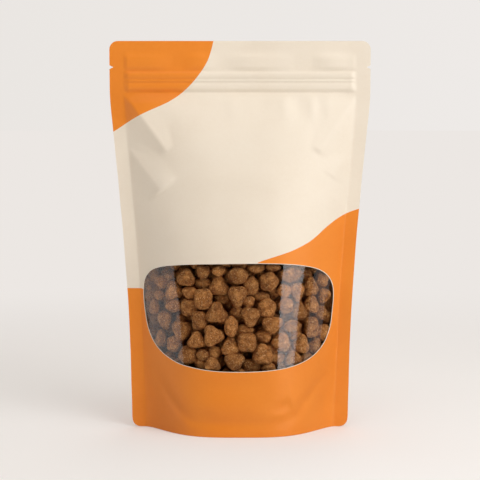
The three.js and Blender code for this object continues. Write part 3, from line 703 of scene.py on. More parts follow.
def gusset_mesh():
    """Film that rises inside each panel to the curved seal line, turns over it and hangs across the base."""
    xs = np.sign(SHARES) * np.abs(SHARES) * 1.0
    n_x = 121
    u = np.linspace(-1, 1, n_x)
    lines = []
    flange, span = 14, 60
    for s in u:
        x = s * (half_width(0) - 0.4)
        zu = min(float(seal_line(x)), GUSSET) - 0.4
        inner = lambda z: float(bulge(x, z, True, -1)) - 0.32 - FILM
        inner_b = lambda z: float(bulge(x, z, True, 1)) - 0.32 - FILM
        hf, hb = max(inner(zu), 0.12), max(inner_b(zu), 0.12)
        dr = drift(np.array(x), np.array(zu))
        width = max(hf + hb - 0.9, 0.05)
        length = max(2 * (GUSSET - zu), width * 1.001)
        drop = zu - 0.12
        v = np.linspace(-1, 1, 201)

        def curve(d):
            return np.minimum(d * (1 - v * v), drop)
        lo, hi = 0.0, 400.0
        for _ in range(34):
            mid = (lo + hi) / 2
            zz = -curve(mid)
            ln = np.hypot(np.diff(v * width / 2), np.diff(zz)).sum()
            lo, hi = (mid, hi) if ln < length else (lo, mid)
        zz = zu - curve(lo) if width > 0.2 else np.full_like(v, zu)
        yy = v * width / 2 + (hb - hf) / 2
        d = np.concatenate([[0], np.cumsum(np.hypot(np.diff(yy), np.diff(zz)))])
        tt = (1 - np.cos(np.linspace(0, math.pi, span + 1))) / 2 * d[-1]
        span_pts = np.stack([np.interp(tt, d, yy), np.interp(tt, d, zz)], 1)
        over = abs(x) - (float(half_width(0)) - CORNER_R)
        z0 = CORNER_R - math.sqrt(max(CORNER_R ** 2 - over ** 2, 0)) + 0.4 if over > 0 else 0.0
        fz = np.linspace(z0, zu, flange + 1)
        f_pts = np.array([(-inner(q), q) for q in fz])
        b_pts = np.array([(inner_b(q), q) for q in fz[::-1]])
        f_pts[:, 0] = np.minimum(f_pts[:, 0], -0.12)
        b_pts[:, 0] = np.maximum(b_pts[:, 0], 0.12)
        pts = np.vstack([f_pts[:-1], span_pts, b_pts[1:]])
        xz_drift = np.array([float(drift(np.array(x), np.array(q))) for q in pts[:, 1]])
        lines.append(np.column_stack([np.full(len(pts), x), pts[:, 0] + xz_drift, pts[:, 1]]))
    lines = np.array(lines)
    # the fold over the seal line is a small round one
    for _ in range(2):
        mid = lines[:, 1:-1] * 0.5 + (lines[:, :-2] + lines[:, 2:]) * 0.25
        k = np.zeros(lines.shape[1]); k[flange - 2:flange + 4] = 1; k[-flange - 4:-flange + 2] = 1
        lines[:, 1:-1] = np.where(k[1:-1, None] > 0, mid, lines[:, 1:-1])
    nx, nj = lines.shape[:2]
    co = lines.reshape(-1, 3)
    f = []
    for i in range(nx - 1):
        for j in range(nj - 1):
            a = i * nj + j
            f += [(a, a + nj, a + nj + 1), (a, a + nj + 1, a + 1)]
    return co, np.array(f)


gco, gf = gusset_mesh()
gco[:, 2] = np.maximum(gco[:, 2], 0.0)
gn = vertex_normals(gco, gf)
up = gn[len(gn) // 2, 2] > 0
gusset = shell("gusset_film", gco, gf if not up else gf[:, ::-1], 0.16, np.zeros(len(gf), int))
gv = np.zeros(len(gusset.data.vertices) * 3, np.float32)
gusset.data.vertices.foreach_get("co", gv)
gv = gv.reshape(-1, 3); gv[:, 2] = np.maximum(gv[:, 2], 0.0)
gusset.data.vertices.foreach_set("co", gv.ravel())
for m in (ORANGE, CREAM, INSIDE):
    gusset.data.materials.append(m)
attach(gusset, "root"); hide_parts("bottom_gusset")

# ------------------------------------------------------------------ zip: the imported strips, in clear moulded plastic
def zip_material():
    m, nt, p = nodes_of("zip_plastic")
    tc = nt.nodes.new("ShaderNodeTexCoord")
    n = noise_node(nt, 140.0, 4.0, tc.outputs["Object"])
    cr = nt.nodes.new("ShaderNodeValToRGB")
    cr.color_ramp.elements[0].color = srgb(214, 212, 205)
    cr.color_ramp.elements[1].color = srgb(236, 234, 228)
    link(nt, n.outputs["Fac"], cr.inputs["Fac"]); link(nt, cr.outputs["Color"], p.inputs["Base Color"])
    r = nt.nodes.new("ShaderNodeMapRange")
    r.inputs["To Min"].default_value, r.inputs["To Max"].default_value = 0.25, 0.45
    link(nt, n.outputs["Fac"], r.inputs["Value"]); link(nt, r.outputs["Result"], p.inputs["Roughness"])
    b = nt.nodes.new("ShaderNodeBump"); b.inputs["Strength"].default_value = 0.3; b.inputs["Distance"].default_value = 0.0002
    w = nt.nodes.new("ShaderNodeTexWave"); w.bands_direction = "Z"; w.inputs["Scale"].default_value = 180.0
    w.inputs["Distortion"].default_value = 1.5
    link(nt, tc.outputs["Object"], w.inputs["Vector"]); link(nt, w.outputs["Fac"], b.inputs["Height"])
    link(nt, b.outputs["Normal"], p.inputs["Normal"])
    return m


ZIP = zip_material()
ZIP_MID = 268.5
RIB = [(-1.45, 262.2), (-1.15, 262.2), (-1.15, ZIP_MID - 0.25), (-0.1, ZIP_MID - 0.25), (-0.1, ZIP_MID - 0.6), (0.5, ZIP_MID - 0.2),
       (0.5, ZIP_MID + 0.2), (-0.1, ZIP_MID + 0.6), (-0.1, ZIP_MID + 0.25), (-1.15, ZIP_MID + 0.25), (-1.15, 274.8), (-1.45, 274.8)]
CHANNEL = [(1.45, 262.2), (1.45, 274.8), (1.15, 274.8), (1.15, ZIP_MID + 1.6), (-0.75, ZIP_MID + 1.6), (-0.75, ZIP_MID + 0.5),
           (-0.35, ZIP_MID + 0.5), (-0.35, ZIP_MID + 1.05), (1.15, ZIP_MID + 1.05), (1.15, ZIP_MID - 1.05), (-0.35, ZIP_MID - 1.05),
           (-0.35, ZIP_MID - 0.5), (-0.75, ZIP_MID - 0.5), (-0.75, ZIP_MID - 1.6), (1.15, ZIP_MID - 1.6), (1.15, 262.2)]


def zip_strip(name, section, node):
    """An extruded strip that follows the slow waves of the header."""
    lo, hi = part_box(node)
    x0, x1 = lo[0] / MM, hi[0] / MM
    bm = bmesh.new()
    rings = []
    for x in np.linspace(x0, x1, 91):
        rings.append([bm.verts.new(Vector((x, y * 0.72 + float(drift(np.array(x), np.array(z))), z)) * MM) for y, z in section])
    for a, b in zip(rings, rings[1:]):
        for i in range(len(section)):
            j = (i + 1) % len(section)
            bm.faces.new((a[i], a[j], b[j], b[i]))
    bm.faces.new(rings[0][::-1])
    bm.faces.new(rings[-1])
    bmesh.ops.recalc_face_normals(bm, faces=bm.faces[:])
    me = bpy.data.meshes.new(name)
    bm.to_mesh(me)
    bm.free()
    o = bpy.data.objects.new(name, me)
    scene.collection.objects.link(o)
    me.materials.append(ZIP)
    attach(o, "root"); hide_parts(node)
    return o


zip_strip("zip_rib_extrusion", RIB, "zip_rib_strip")
zip_strip("zip_channel_extrusion", CHANNEL, "zip_channel_strip")

# ------------------------------------------------------------------ pet food
# x, y, z, half across, half deep, half high, lobes, lobe depth, first lobe, tilt x, tilt z
KIBBLE = [
    (-27.83, -26, 124.56, 4.98, 4.08, 5.06, 3, 0.1, 0.35, -0.22, 0.4),
    (-16.08, -28.5, 125.35, 4.86, 3.78, 4.16, 4, 0.05, 0, -0.53, 0.35),
    (-1.59, -31.5, 122.09, 6.72, 5.08, 6.01, 2, 0.03, 0, 0.18, -0.02),
    (36.3, -26.25, 121.9, 5.1, 4.22, 5.36, 3, 0.1, 1.05, 0.07, -0.27),
    (-59.87, -10.5, 115.21, 4.94, 3.93, 4.74, 3, 0.1, 0.52, 0.27, 0.24),
    (-41.03, -23.75, 119.14, 6.12, 4.95, 5.91, 3, 0.13, 1.4, 0.17, -0.16),
    (-16.28, -25.5, 112.99, 6.6, 5.61, 6.84, 3, 0.16, 1.57, -0.12, -0.13),
    (8.66, -27.5, 113.52, 5.78, 5.01, 6.74, 5, 0.05, 1.57, 0, 0.03),
    (21.88, -29.75, 117.15, 6.44, 5.39, 6.84, 5, 0.06, 1.4, 0.3, 0.18),
    (63.4, -7.75, 116.75, 4.79, 4.07, 5.6, 4, 0.05, 0.52, 0.08, 0.01),
    (-50.75, -17, 108.73, 5.98, 5.1, 6.47, 3, 0.12, 1.75, -0.22, 0.21),
    (-27.77, -29.75, 103.81, 6.8, 5.38, 7.68, 4, 0.07, 0.79, -0.08, 0.06),
    (-1.82, -32.5, 106.75, 6.21, 5.63, 7.42, 3, 0.15, 4.71, 0, 0.22),
    (33.4, -26, 109.62, 4.91, 4.08, 4.91, 4, 0.05, 0.17, 0.01, 0.37),
    (43.54, -23.5, 109.09, 4.87, 4.56, 6.38, 3, 0.12, 4.71, -0.14, 0.23),
    (54.05, -15.5, 111.39, 5.13, 4.85, 6.61, 3, 0.15, 1.66, -0.02, 0.25),
    (64.78, -5.5, 103.84, 4.67, 4.14, 5.57, 3, 0.1, 4.36, -0.29, -0.18),
    (-66.21, -4.75, 94.52, 3.93, 3.74, 5.46, 3, 0.08, 1.57, -0.18, 0.26),
    (-50.44, -18.25, 97.27, 5.87, 4.11, 4.51, 2, 0.03, 0, 0.22, 0.1),
    (-38.21, -24.25, 96.67, 6.53, 4.76, 6.27, 4, 0.07, 0.79, 0.1, -0.12),
    (20.52, -32.5, 97.67, 6.22, 5.16, 6.56, 5, 0.06, 1.57, 0.06, 0.08),
    (34.82, -28.5, 98.65, 5.41, 4.37, 5.43, 5, 0.05, 0.52, 0.08, 0.15),
    (54.76, -14.75, 97.64, 5.41, 4.87, 6.52, 3, 0.12, 1.48, 0.12, -0.18),
    (-57.71, -12.25, 85.88, 4.92, 4.63, 6.47, 3, 0.12, 4.89, 0.03, -0.19),
    (-31.06, -30.25, 87.66, 5.47, 4.63, 7.05, 4, 0.07, 0.79, 0.22, -0.09),
    (-17.65, -32.25, 93.21, 7.14, 6.04, 7.09, 3, 0.19, 3.67, 0.19, -0.07),
    (8.09, -33.75, 91.35, 6.26, 5.38, 6.64, 3, 0.15, 4.63, -0.06, -0.24),
    (44.94, -22, 93.67, 5.53, 4.95, 6.56, 3, 0.13, 1.57, -0.25, 0.02),
    (62.1, -8.25, 90.74, 4.73, 3.93, 5.1, 5, 0.05, 0, -0.08, -0.3),
    (-44.63, -22.25, 79.07, 6.53, 5.62, 6.97, 3, 0.15, 4.57, -0.05, -0.16),
    (-6.73, -35.25, 83.64, 4.74, 4.65, 7.14, 2, 0, 1.57, -0.09, 0.01),
    (24.07, -31.75, 84.91, 6.98, 5.54, 6.33, 3, 0.15, 4.57, -0.18, -0.08),
    (39.62, -26.5, 82.84, 6.37, 4.28, 4.51, 2, 0.03, 0, 0.11, 0.13),
    (54.72, -15, 80.25, 5.43, 4.88, 7.75, 4, 0.06, 0.79, 0.01, 0.27),
    (-60.92, -8.75, 70.26, 4.58, 4.46, 6.56, 3, 0.1, 1.57, -0.28, 0.23),
    (-50.77, -18.75, 68.01, 5.09, 4.4, 5.94, 5, 0.05, 0, -0.02, 0.03),
    (-33, -29.75, 72.22, 6.07, 4.84, 5.61, 3, 0.15, 1.57, -0.04, 0.01),
    (-20.6, -33, 76.27, 6.81, 5.72, 6.92, 3, 0.17, 0, 0.05, 0.11),
    (5.22, -35.5, 71.53, 6.99, 5.13, 6.89, 4, 0.08, 0.79, 0.18, 0.01),
    (31.3, -30.5, 70.97, 6.21, 5.16, 6.41, 3, 0.12, 1.22, -0.1, -0.14),
    (46.43, -21.75, 68, 5.94, 5.17, 6.63, 3, 0.13, 1.4, -0.05, 0.25),
    (63.67, -6.25, 75.32, 4.98, 4.5, 6.15, 3, 0.1, 4.89, -0.15, 0.18),
    (-39.84, -26.25, 60.25, 6.32, 5.24, 6.71, 5, 0.05, 0.7, -0.28, -0.23),
    (-28.21, -30.75, 61.2, 4.51, 3.64, 4.16, 4, 0.05, 0, 0.34, -0.39),
    (-7.14, -32.25, 67.31, 6.35, 5.23, 6.33, 3, 0.14, 1.57, -0.21, 0.26),
    (17.37, -34, 61.77, 6.96, 5.83, 7.29, 3, 0.12, 1.57, 0.27, 0.04),
    (57.82, -11.25, 64.27, 5.39, 4.79, 6.47, 3, 0.1, 1.22, -0.26, -0.04),
    (-21.15, -35.25, 54.54, 5.59, 4.46, 5.24, 3, 0.14, 1.57, -0.05, 0.19),
    (-4.09, -36, 57.08, 6.73, 5.26, 6.04, 3, 0.14, 4.71, -0.29, 0.08),
    (9.07, -28.5, 52.74, 6.96, 4.35, 4.9, 4, 0.07, 0.79, 0.27, -0.03),
    (40.29, -26.75, 57.83, 5.98, 4.65, 5.39, 3, 0.12, 1.75, -0.04, 0.23),
    (-27.65, -21, 114.86, 6.01, 4.16, 4.51, 2, 0.03, 0, -0.26, -0.06),
    (17.83, -27.75, 75.18, 5.83, 4.14, 4.56, 3, 0.08, 1.05, -0.35, -0.17),
    (-19.18, -28.25, 62.87, 5.1, 4.08, 5, 3, 0.1, 0, -0.53, 0.27),
    (-13.52, -22, 103.49, 5.54, 3.97, 4.37, 3, 0.08, 2.62, -0.48, -0.12),
    (-38.42, -24, 108.2, 5.36, 3.91, 4.37, 3, 0.08, 0.52, -0.19, -0.38),
    (12.44, -27.75, 127.47, 6.44, 4.1, 3.64, 3, 0.08, 4.71, 0.13, 0.53),
    (3.64, -30.5, 80.35, 5.83, 3.87, 3.98, 3, 0.08, 0, 0.24, -0.3),
    (16.31, -24.5, 105.38, 5.43, 3.81, 4.17, 2, 0.04, 0, 0.52, 0.1),
    (28.66, -28.25, 58.68, 5.01, 3.78, 4.37, 3, 0.08, 0.52, 0.02, 0.43),
    (-2.58, -28.25, 93.58, 5.29, 3.74, 4.01, 3, 0.1, 1.57, 0.51, -0.31),
    (-55.6, -5.5, 121.98, 4.65, 3.64, 4.37, 3, 0.08, 1.57, 0.14, 0.43),
    (-54.39, -12.25, 56.85, 5.01, 3.62, 4.01, 3, 0.08, 1.57, -0.19, 0.27),
    (50.21, -18, 57.35, 4.65, 3.48, 4.01, 3, 0.08, 0.52, 0.14, 0.51),
    (50.63, -11.25, 121.83, 4.27, 3.5, 4.34, 3, 0.1, 3.49, -0.5, 0.02),
    (67.82, -0.5, 85.79, 3.58, 3.62, 5.1, 3, 0.08, 0.52, 0.36, -0.37),
    (21.76, -31.25, 51.77, 5.01, 3.62, 3.64, 3, 0.08, 1.57, 0.52, 0.02),
    (24.76, -26.25, 128.01, 5.6, 3.87, 3.15, 4, 0.04, 0, -0.31, -0.37),
    (-71.3, 2.25, 108.57, 2.77, 2.71, 4.34, 3, 0.05, 0, 0.41, 0.15),
    (-70.67, 2.5, 98.33, 2.77, 2.71, 4.34, 3, 0.05, 0, 0.08, -0.13),
    (-61.85, -7.5, 104.51, 4.74, 3.48, 3.64, 3, 0.05, 0, 0.08, -0.38),
    (-68.76, 1, 72.74, 3.46, 3.48, 4.74, 3, 0.05, 0, -0.32, -0.49),
    (-44.87, -15.5, 87.07, 4.37, 3.35, 3.62, 3, 0.08, 0, 0.29, 0.44),
    (-70.11, 6.25, 80.18, 2.62, 2.61, 4.03, 3, 0.05, 0, -0.18, -0.11),
    (-66.29, 3.75, 65.38, 3.46, 3.21, 4.01, 3, 0.05, 0, -0.31, 0.45),
    (-63.55, -4.75, 62.3, 3.64, 3.21, 3.62, 3, 0.08, 0, -0.51, -0.14),
    (55.74, -5.75, 124.3, 4.37, 3.35, 2.91, 2, 0, 0, -0, -0.27),
    (-46.9, -20.5, 53.64, 4.37, 3.35, 2.91, 2, 0, 0, 0.5, 0.17),
    (31.8, -26, 51.7, 3.64, 3.21, 2.91, 3, 0.06, 0, 0.26, 0.09),
    (25.46, -21.25, 107.51, 4.37, 3.64, 4.64, 3, 0.1, 0, 0.19, -0.38),
    (6.75, -29, 101.68, 4.29, 3.5, 4.32, 3, 0.1, 0.79, -0.06, -0.28),
]
CAD_KIBBLES = 51


def noise3(p, seed):
    o = Vector((seed * 3.71 % 97, seed * 7.13 % 89, seed * 1.97 % 83))
    return mathutils_noise.noise(Vector(p) + o)


def kibble_mesh(index, row, level):
    """A baked biscuit: a thick pillow with rounded lobes, pitted and crumbed all over."""
    x, y, z, across, deep, high, lobes, depth, first, tilt_x, tilt_z = row
    bm = bmesh.new()
    bmesh.ops.create_icosphere(bm, subdivisions=level, radius=1.0)
    d = np.array([v.co[:] for v in bm.verts])
    faces = np.array([[v.index for v in f.verts] for f in bm.faces])
    bm.free()
    d /= np.linalg.norm(d, axis=1)[:, None]
    dx, dy, dz = d.T
    r = 1 + depth * np.cos(lobes * (np.arctan2(dz, dx) - first))
    co = np.stack([across * dx * r, deep * np.sign(dy) * np.abs(dy) ** 0.85, high * dz * r], 1)
    seed = index + 1
    crevice_shade = np.zeros(len(co))
    off = np.zeros(len(co))
    size = (across + high) / 2
    for i, c in enumerate(co):
        big = noise3(c * 0.22, seed)          # slow lopsidedness
        mid = noise3(c * 0.62, seed + 11)
        grit = noise3(c * 1.5, seed + 23)
        cell = mathutils_noise.voronoi(Vector(c) * 0.62 + Vector((seed * 5.3, 0, 0)))[0]
        crumb = cell[1] - cell[0]
        off[i] = 0.060 * size * big + 0.030 * size * mid - 0.035 * size * (1 - min(crumb * 1.8, 1.0)) + 0.022 * size * grit + 0.012 * size
        # painted shade: this value falls where the surface is pushed in and darkens the colour there
        crevice_shade[i] = min(max(0.5 + 0.9 * grit + 0.5 * (min(crumb * 1.6, 1) - 0.6) + 0.35 * mid, 0), 1)
    co = co + d * off[:, None]
    R = np.array(Matrix.Rotation(tilt_z, 3, "Z") @ Matrix.Rotation(tilt_x, 3, "X"))
    out = co @ R.T * 1.11 + np.array([x, y, z])
    # pressed flat where it meets the pouch's film
    for side in (-1, 1):
        limit = bulge(out[:, 0], out[:, 2], True, side) - 0.52
        y_mid = drift(out[:, 0], out[:, 2])
        out[:, 1] = np.minimum(out[:, 1], y_mid + limit) if side > 0 else np.maximum(out[:, 1], y_mid - limit)
    return out, faces, crevice_shade, d[:, 2]


def kibble_material():
    """Dry baked crumb: toasted brown, with golden grains on the high spots and painted shade darkening the pits and
    crevices.
    """
    m, nt, p = nodes_of("baked_kibble")
    tc = nt.nodes.new("ShaderNodeTexCoord")
    pos = tc.outputs["Object"]
    crevice_shade_node = nt.nodes.new("ShaderNodeAttribute"); crevice_shade_node.attribute_name = "crevice_shade"
    tone = nt.nodes.new("ShaderNodeAttribute"); tone.attribute_name = "tone"
    grain = noise_node(nt, 1050.0, 3.0, pos, 0.7)
    blotch = noise_node(nt, 230.0, 4.0, pos, 0.62)
    # toasted body, wandering between brown and reddish tan
    body = nt.nodes.new("ShaderNodeValToRGB")
    body.color_ramp.elements[0].position, body.color_ramp.elements[0].color = 0.34, srgb(142, 86, 42)
    body.color_ramp.elements[1].position, body.color_ramp.elements[1].color = 0.66, srgb(214, 150, 84)
    e = body.color_ramp.elements.new(0.5); e.color = srgb(182, 118, 60)
    link(nt, blotch.outputs["Fac"], body.inputs["Fac"])
    # pale golden grains, which fade where the painted crevice shade falls
    grains = nt.nodes.new("ShaderNodeValToRGB")
    grains.color_ramp.elements[0].position, grains.color_ramp.elements[0].color = 0.52, (0, 0, 0, 1)
    grains.color_ramp.elements[1].position, grains.color_ramp.elements[1].color = 0.62, (1, 1, 1, 1)
    link(nt, grain.outputs["Fac"], grains.inputs["Fac"])
    gm = nt.nodes.new("ShaderNodeMath"); gm.operation = "MULTIPLY"
    link(nt, grains.outputs["Color"], gm.inputs[0]); link(nt, crevice_shade_node.outputs["Fac"], gm.inputs[1])
    mix1 = nt.nodes.new("ShaderNodeMix"); mix1.data_type = "RGBA"
    link(nt, gm.outputs[0], mix1.inputs["Factor"])
    link(nt, body.outputs["Color"], mix1.inputs[6]); mix1.inputs[7].default_value = srgb(244, 204, 144)
    # painted shade: darker in the pits and crevices, where the surface is pushed in
    crevice_shades = nt.nodes.new("ShaderNodeMapRange")
    crevice_shades.inputs["From Min"].default_value, crevice_shades.inputs["From Max"].default_value = 0.05, 0.5
    crevice_shades.inputs["To Min"].default_value, crevice_shades.inputs["To Max"].default_value = 0.35, 0.0
    link(nt, crevice_shade_node.outputs["Fac"], crevice_shades.inputs["Value"])
    mix2 = nt.nodes.new("ShaderNodeMix"); mix2.data_type = "RGBA"
    link(nt, crevice_shades.outputs["Result"], mix2.inputs["Factor"])
    link(nt, mix1.outputs[2], mix2.inputs[6]); mix2.inputs[7].default_value = srgb(84, 48, 24)
    # each biscuit is baked a little lighter or darker
    hsv = nt.nodes.new("ShaderNodeHueSaturation")
    tv = nt.nodes.new("ShaderNodeMapRange")
    tv.inputs["To Min"].default_value, tv.inputs["To Max"].default_value = 0.86, 1.18
    link(nt, tone.outputs["Fac"], tv.inputs["Value"]); link(nt, tv.outputs["Result"], hsv.inputs["Value"])
    link(nt, mix2.outputs[2], hsv.inputs["Color"]); link(nt, hsv.outputs["Color"], p.inputs["Base Color"])
    rr = nt.nodes.new("ShaderNodeMapRange")
    rr.inputs["To Min"].default_value, rr.inputs["To Max"].default_value = 0.86, 0.62
    link(nt, grain.outputs["Fac"], rr.inputs["Value"]); link(nt, rr.outputs["Result"], p.inputs["Roughness"])
    add = nt.nodes.new("ShaderNodeMath"); add.operation = "MULTIPLY_ADD"
    link(nt, blotch.outputs["Fac"], add.inputs[0]); add.inputs[1].default_value = 1.5
    link(nt, grain.outputs["Fac"], add.inputs[2])
    b = nt.nodes.new("ShaderNodeBump"); b.inputs["Strength"].default_value = 1.0; b.inputs["Distance"].default_value = 0.0011
    link(nt, add.outputs[0], b.inputs["Height"]); link(nt, b.outputs["Normal"], p.inputs["Normal"])
    p.inputs["Specular IOR Level"].default_value = 0.35
    return m


BAKED = kibble_material()


def add_kibble(name, index, row, level):
    co, faces, crevice_shade, up = kibble_mesh(index, row, level)
    o = new_mesh(name, co, faces)
    # the painted crevice shade and the random tone, as point attributes
    a = o.data.attributes.new("crevice_shade", "FLOAT", "POINT"); a.data.foreach_set("value", crevice_shade.astype(np.float32))
    tone = (math.sin(index * 12.9898) * 43758.5453) % 1.0
    a = o.data.attributes.new("tone", "FLOAT", "POINT"); a.data.foreach_set("value", np.full(len(co), tone, np.float32))
    o.data.materials.append(BAKED)
    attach(o, "root")
    return o


def join(name, parts):
    """One object from several meshes of (points, faces, painted crevice shade, tone)."""
    cos, fcs, crevice_shades, tones, n = [], [], [], [], 0
    for co, f, crevice_shade, tone in parts:
        cos.append(co); fcs.append(f + n); crevice_shades.append(crevice_shade); tones.append(np.full(len(co), tone)); n += len(co)
    o = new_mesh(name, np.vstack(cos), np.vstack(fcs))
    a = o.data.attributes.new("crevice_shade", "FLOAT", "POINT"); a.data.foreach_set("value", np.concatenate(crevice_shades).astype(np.float32))
    a = o.data.attributes.new("tone", "FLOAT", "POINT"); a.data.foreach_set("value", np.concatenate(tones).astype(np.float32))
    return o


for i, row in enumerate(KIBBLE[:CAD_KIBBLES]):
    name = "kibble_%02d" % (i + 1)
    o = add_kibble("pet_food_" + name, i, row, 5)
    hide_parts(name)

# the biscuits behind them, and the rest of the fill as a lumpy mass
behind = [kibble_mesh(i, row, 3)[:3] + ((math.sin(i * 12.9898) * 43758.5453) % 1.0,) for i, row in list(enumerate(KIBBLE))[CAD_KIBBLES:]]
taken = [(r[0], r[1], r[2], max(r[3], r[4], r[5])) for r in KIBBLE]
rng = np.random.RandomState(7)
k = 0
for j, zc in enumerate(np.arange(44, 150, 11.0)):
    for i, xc in enumerate(np.arange(-72, 73, 12.0)):
        for layer in (11.0, 19.5):
            px, pz = xc + (6.0 if j % 2 else 0) + rng.uniform(-1.5, 1.5), zc + rng.uniform(-1.5, 1.5)
            if abs(px) > 74:
                continue
            depth = layer + rng.uniform(-1.5, 1.5)
            py = -float(bulge(px, pz, False)) + depth
            room = 2 * float(bulge(px, pz, False)) - depth
            size = rng.uniform(5.2, 6.4)
            turn = rng.uniform(0, 6.28, 3)
            if room < size + 2.5:
                continue
            near = min((math.dist((px, py, pz), t[:3]) - 0.82 * (t[3] + size) for t in taken), default=1)
            if near < -1.2:
                continue
            if near < 0:
                size = max(size + near / 0.82, 4.0)
            taken.append((px, py, pz, size))
            row = (px, py, pz, size, size * 0.78, size * 0.95, 3, 0.13, turn[0], 0.6 * math.sin(turn[1]), 0.7 * math.sin(turn[2]))
            # the fill behind takes only the darker tones: painted shade of depth
            behind.append(kibble_mesh(200 + k, row, 3)[:3] + (rng.uniform(0, 0.6),))
            k += 1
print("fillers", k)


def lump_mass():
    """The rest of the fill, seen only in the dark gaps: one body with a lumpy skin."""
    rings, around = 110, 150
    co, crevice_shade = [], []
    zs = np.linspace(22.0, 190.0, rings)
    for z in zs:
        cap = math.sqrt(max(1 - ((z - 106) / 84.5) ** 6, 0.001))
        half = (float(free_half(z)) - 1.2) * cap
        for i in range(around):
            t = i / around * 2 * math.pi
            x = half * math.cos(t)
            f = float(bulge(x, z, False))
            set_back = 24.0
            lo, hi = -max(f - set_back, min(f * 0.1, 1.5)), max(f - 5, min(f * 0.5, 4.0))
            mid = (lo + hi) / 2
            s = math.sin(t)
            y = mid + (hi - lo) / 2 * cap * math.copysign(abs(s) ** 0.6, s)
            cell = mathutils_noise.voronoi(Vector((x, y, z)) * 0.085)[0]
            lump = min((cell[1] - cell[0]) * 1.4, 1.0)
            nx, ny = math.cos(t), math.sin(t)
            co.append((x - nx * 3.0 * (1 - lump), y - ny * 3.0 * (1 - lump), z))
            # painted shade: darker in the hollows between the lumps
            crevice_shade.append(lump)
    n = len(co)
    f = []
    for j in range(rings - 1):
        for i in range(around):
            a, b = j * around + i, j * around + (i + 1) % around
            f += [(a, b, b + around), (a, b + around, a + around)]
    co += [(0, float(np.mean([c[1] for c in co[:around]])), zs[0]), (0, float(np.mean([c[1] for c in co[-around:]])), zs[-1] + 1.5)]
    crevice_shade += [1.0, 1.0]
    for i in range(around):
        f.append((n, (i + 1) % around, i))
        f.append((n + 1, n - around + i, n - around + (i + 1) % around))
    # a darker tone for the mass: painted shade of the deep gaps
    return np.array(co), np.array(f), np.array(crevice_shade), 0.2


mass = join("pet_food_mass", [lump_mass()] + behind)
mass.data.materials.append(BAKED)
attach(mass, "root"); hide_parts("kibble_bulk")
print("mass", len(mass.data.polygons))

# ------------------------------------------------------------------ stage
PALE = srgb(234, 230, 226)
PALE_LIT_RIGHT = srgb(238, 234, 231)


def backdrop_material(floor):
    m = bpy.data.materials.new("floor_pale" if floor else "backdrop_pale")
    m.use_nodes = True
    nt = m.node_tree
    for n in list(nt.nodes):
        if n.type == "BSDF_PRINCIPLED":
            nt.nodes.remove(n)
    out = next(n for n in nt.nodes if n.type == "OUTPUT_MATERIAL")
    tc = nt.nodes.new("ShaderNodeTexCoord")
    sep = nt.nodes.new("ShaderNodeSeparateXYZ")
    link(nt, tc.outputs["Object"], sep.inputs[0])
    em = nt.nodes.new("ShaderNodeEmission")
    if not floor:
        # painted light: the backdrop is painted a little brighter to the right, where the key lamps stand
        mr = nt.nodes.new("ShaderNodeMapRange")
        mr.inputs["From Min"].default_value, mr.inputs["From Max"].default_value = -2.6, 2.6
        link(nt, sep.outputs["X"], mr.inputs["Value"])
        mc = nt.nodes.new("ShaderNodeMix"); mc.data_type = "RGBA"
        link(nt, mr.outputs["Result"], mc.inputs["Factor"])
        mc.inputs[6].default_value, mc.inputs[7].default_value = PALE, PALE_LIT_RIGHT
        link(nt, mc.outputs[2], em.inputs["Color"])
        link(nt, em.outputs[0], out.inputs["Surface"])
        return m
    em.inputs["Color"].default_value = srgb(236, 231, 227)
    d = nt.nodes.new("ShaderNodeBsdfDiffuse"); d.inputs["Color"].default_value = (0.72, 0.708, 0.70, 1)
    glow = nt.nodes.new("ShaderNodeEmission"); glow.inputs["Color"].default_value = (0.215, 0.222, 0.222, 1)
    near = nt.nodes.new("ShaderNodeAddShader")
    link(nt, d.outputs[0], near.inputs[0]); link(nt, glow.outputs[0], near.inputs[1])
    ln = nt.nodes.new("ShaderNodeVectorMath"); ln.operation = "LENGTH"
    link(nt, tc.outputs["Object"], ln.inputs[0])
    mr = nt.nodes.new("ShaderNodeMapRange"); mr.interpolation_type = "SMOOTHSTEP"
    mr.inputs["From Min"].default_value, mr.inputs["From Max"].default_value = 0.26, 0.95
    link(nt, ln.outputs["Value"], mr.inputs["Value"])
    mx = nt.nodes.new("ShaderNodeMixShader")
    link(nt, mr.outputs["Result"], mx.inputs["Fac"]); link(nt, near.outputs[0], mx.inputs[1]); link(nt, em.outputs[0], mx.inputs[2])
    link(nt, mx.outputs[0], out.inputs["Surface"])
    return m


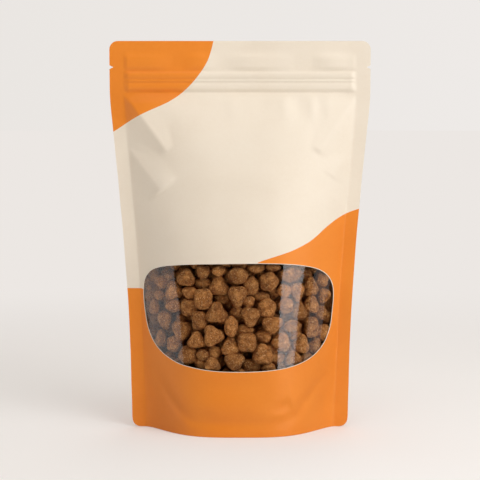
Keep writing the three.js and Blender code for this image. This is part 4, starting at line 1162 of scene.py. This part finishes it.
bm = bmesh.new()
bmesh.ops.create_circle(bm, cap_ends=True, segments=96, radius=14.0)
me = bpy.data.meshes.new("floor"); bm.to_mesh(me); bm.free()
floor = bpy.data.objects.new("floor", me); scene.collection.objects.link(floor)
floor.location.z = -0.0002
me.materials.append(backdrop_material(True))
bm = bmesh.new()
bmesh.ops.create_uvsphere(bm, u_segments=64, v_segments=32, radius=15.0)
me = bpy.data.meshes.new("backdrop"); bm.to_mesh(me); bm.free()
dome = bpy.data.objects.new("backdrop", me); scene.collection.objects.link(dome)
me.materials.append(backdrop_material(False))
for flag in ("visible_diffuse", "visible_glossy", "visible_transmission", "visible_volume_scatter", "visible_shadow"):
    setattr(dome, flag, False)
floor.visible_glossy = False

# ------------------------------------------------------------------ light
world = bpy.data.worlds.new("studio")
scene.world = world
world.use_nodes = True
wt = world.node_tree
bg = next(n for n in wt.nodes if n.type == "BACKGROUND")
bg.inputs["Color"].default_value = (1.0, 0.70, 0.44, 1)
bg.inputs["Strength"].default_value = 0.18
world.cycles_visibility.glossy = False


def softbox(name, azimuth, distance, height, aim, size, radiance, colour=(1, 1, 1)):
    """azimuth in degrees from straight in front of the pouch, positive to its right."""
    d = bpy.data.lights.new(name, "AREA")
    d.shape = "RECTANGLE"
    d.size, d.size_y = size
    d.energy = radiance * math.pi * size[0] * size[1]
    d.color = colour
    o = bpy.data.objects.new(name, d)
    scene.collection.objects.link(o)
    a = math.radians(azimuth)
    o.location = (distance * math.sin(a), -distance * math.cos(a), height)
    o.rotation_euler = (Vector(aim) - Vector(o.location)).to_track_quat("-Z", "Y").to_euler()
    return o


key = softbox("key", 44, 1.3, 1.0, (0, 0, 0.16), (1.15, 0.85), 2.95, (1.0, 0.99, 0.99))
low = softbox("key_low", 44, 1.3, 0.35, (0, 0, 0.16), (0.6, 0.8), 1.5, (1.0, 0.99, 0.98))
front = softbox("top_front", 0, 0.9, 1.3, (0, 0, 0.15), (1.0, 0.8), 1.0)
top = softbox("top", 0, 0.02, 1.5, (0, 0, 0.1), (1.7, 1.7), 1.3, (1.0, 0.995, 0.99))
rear = softbox("rear_fill", 165, 1.6, 0.7, (0, 0, 0.14), (1.0, 1.0), 1.7, (1.0, 0.985, 0.97))
for o in (key, low, front, top, rear):
    o.visible_glossy = False
# what the clear film and the matte sheen mirror
for name, az, wide, strength in (("side_strip", 50.5, 0.62, 2.5), ("far_strip", 86, 0.42, 0.55), ("left_panel", -84, 0.88, 0.9)):
    o = softbox(name, az, 1.25, 0.45, (0, 0, 0.14), (wide, 1.4), strength, (0.97, 0.985, 1.0))
    o.visible_diffuse = False
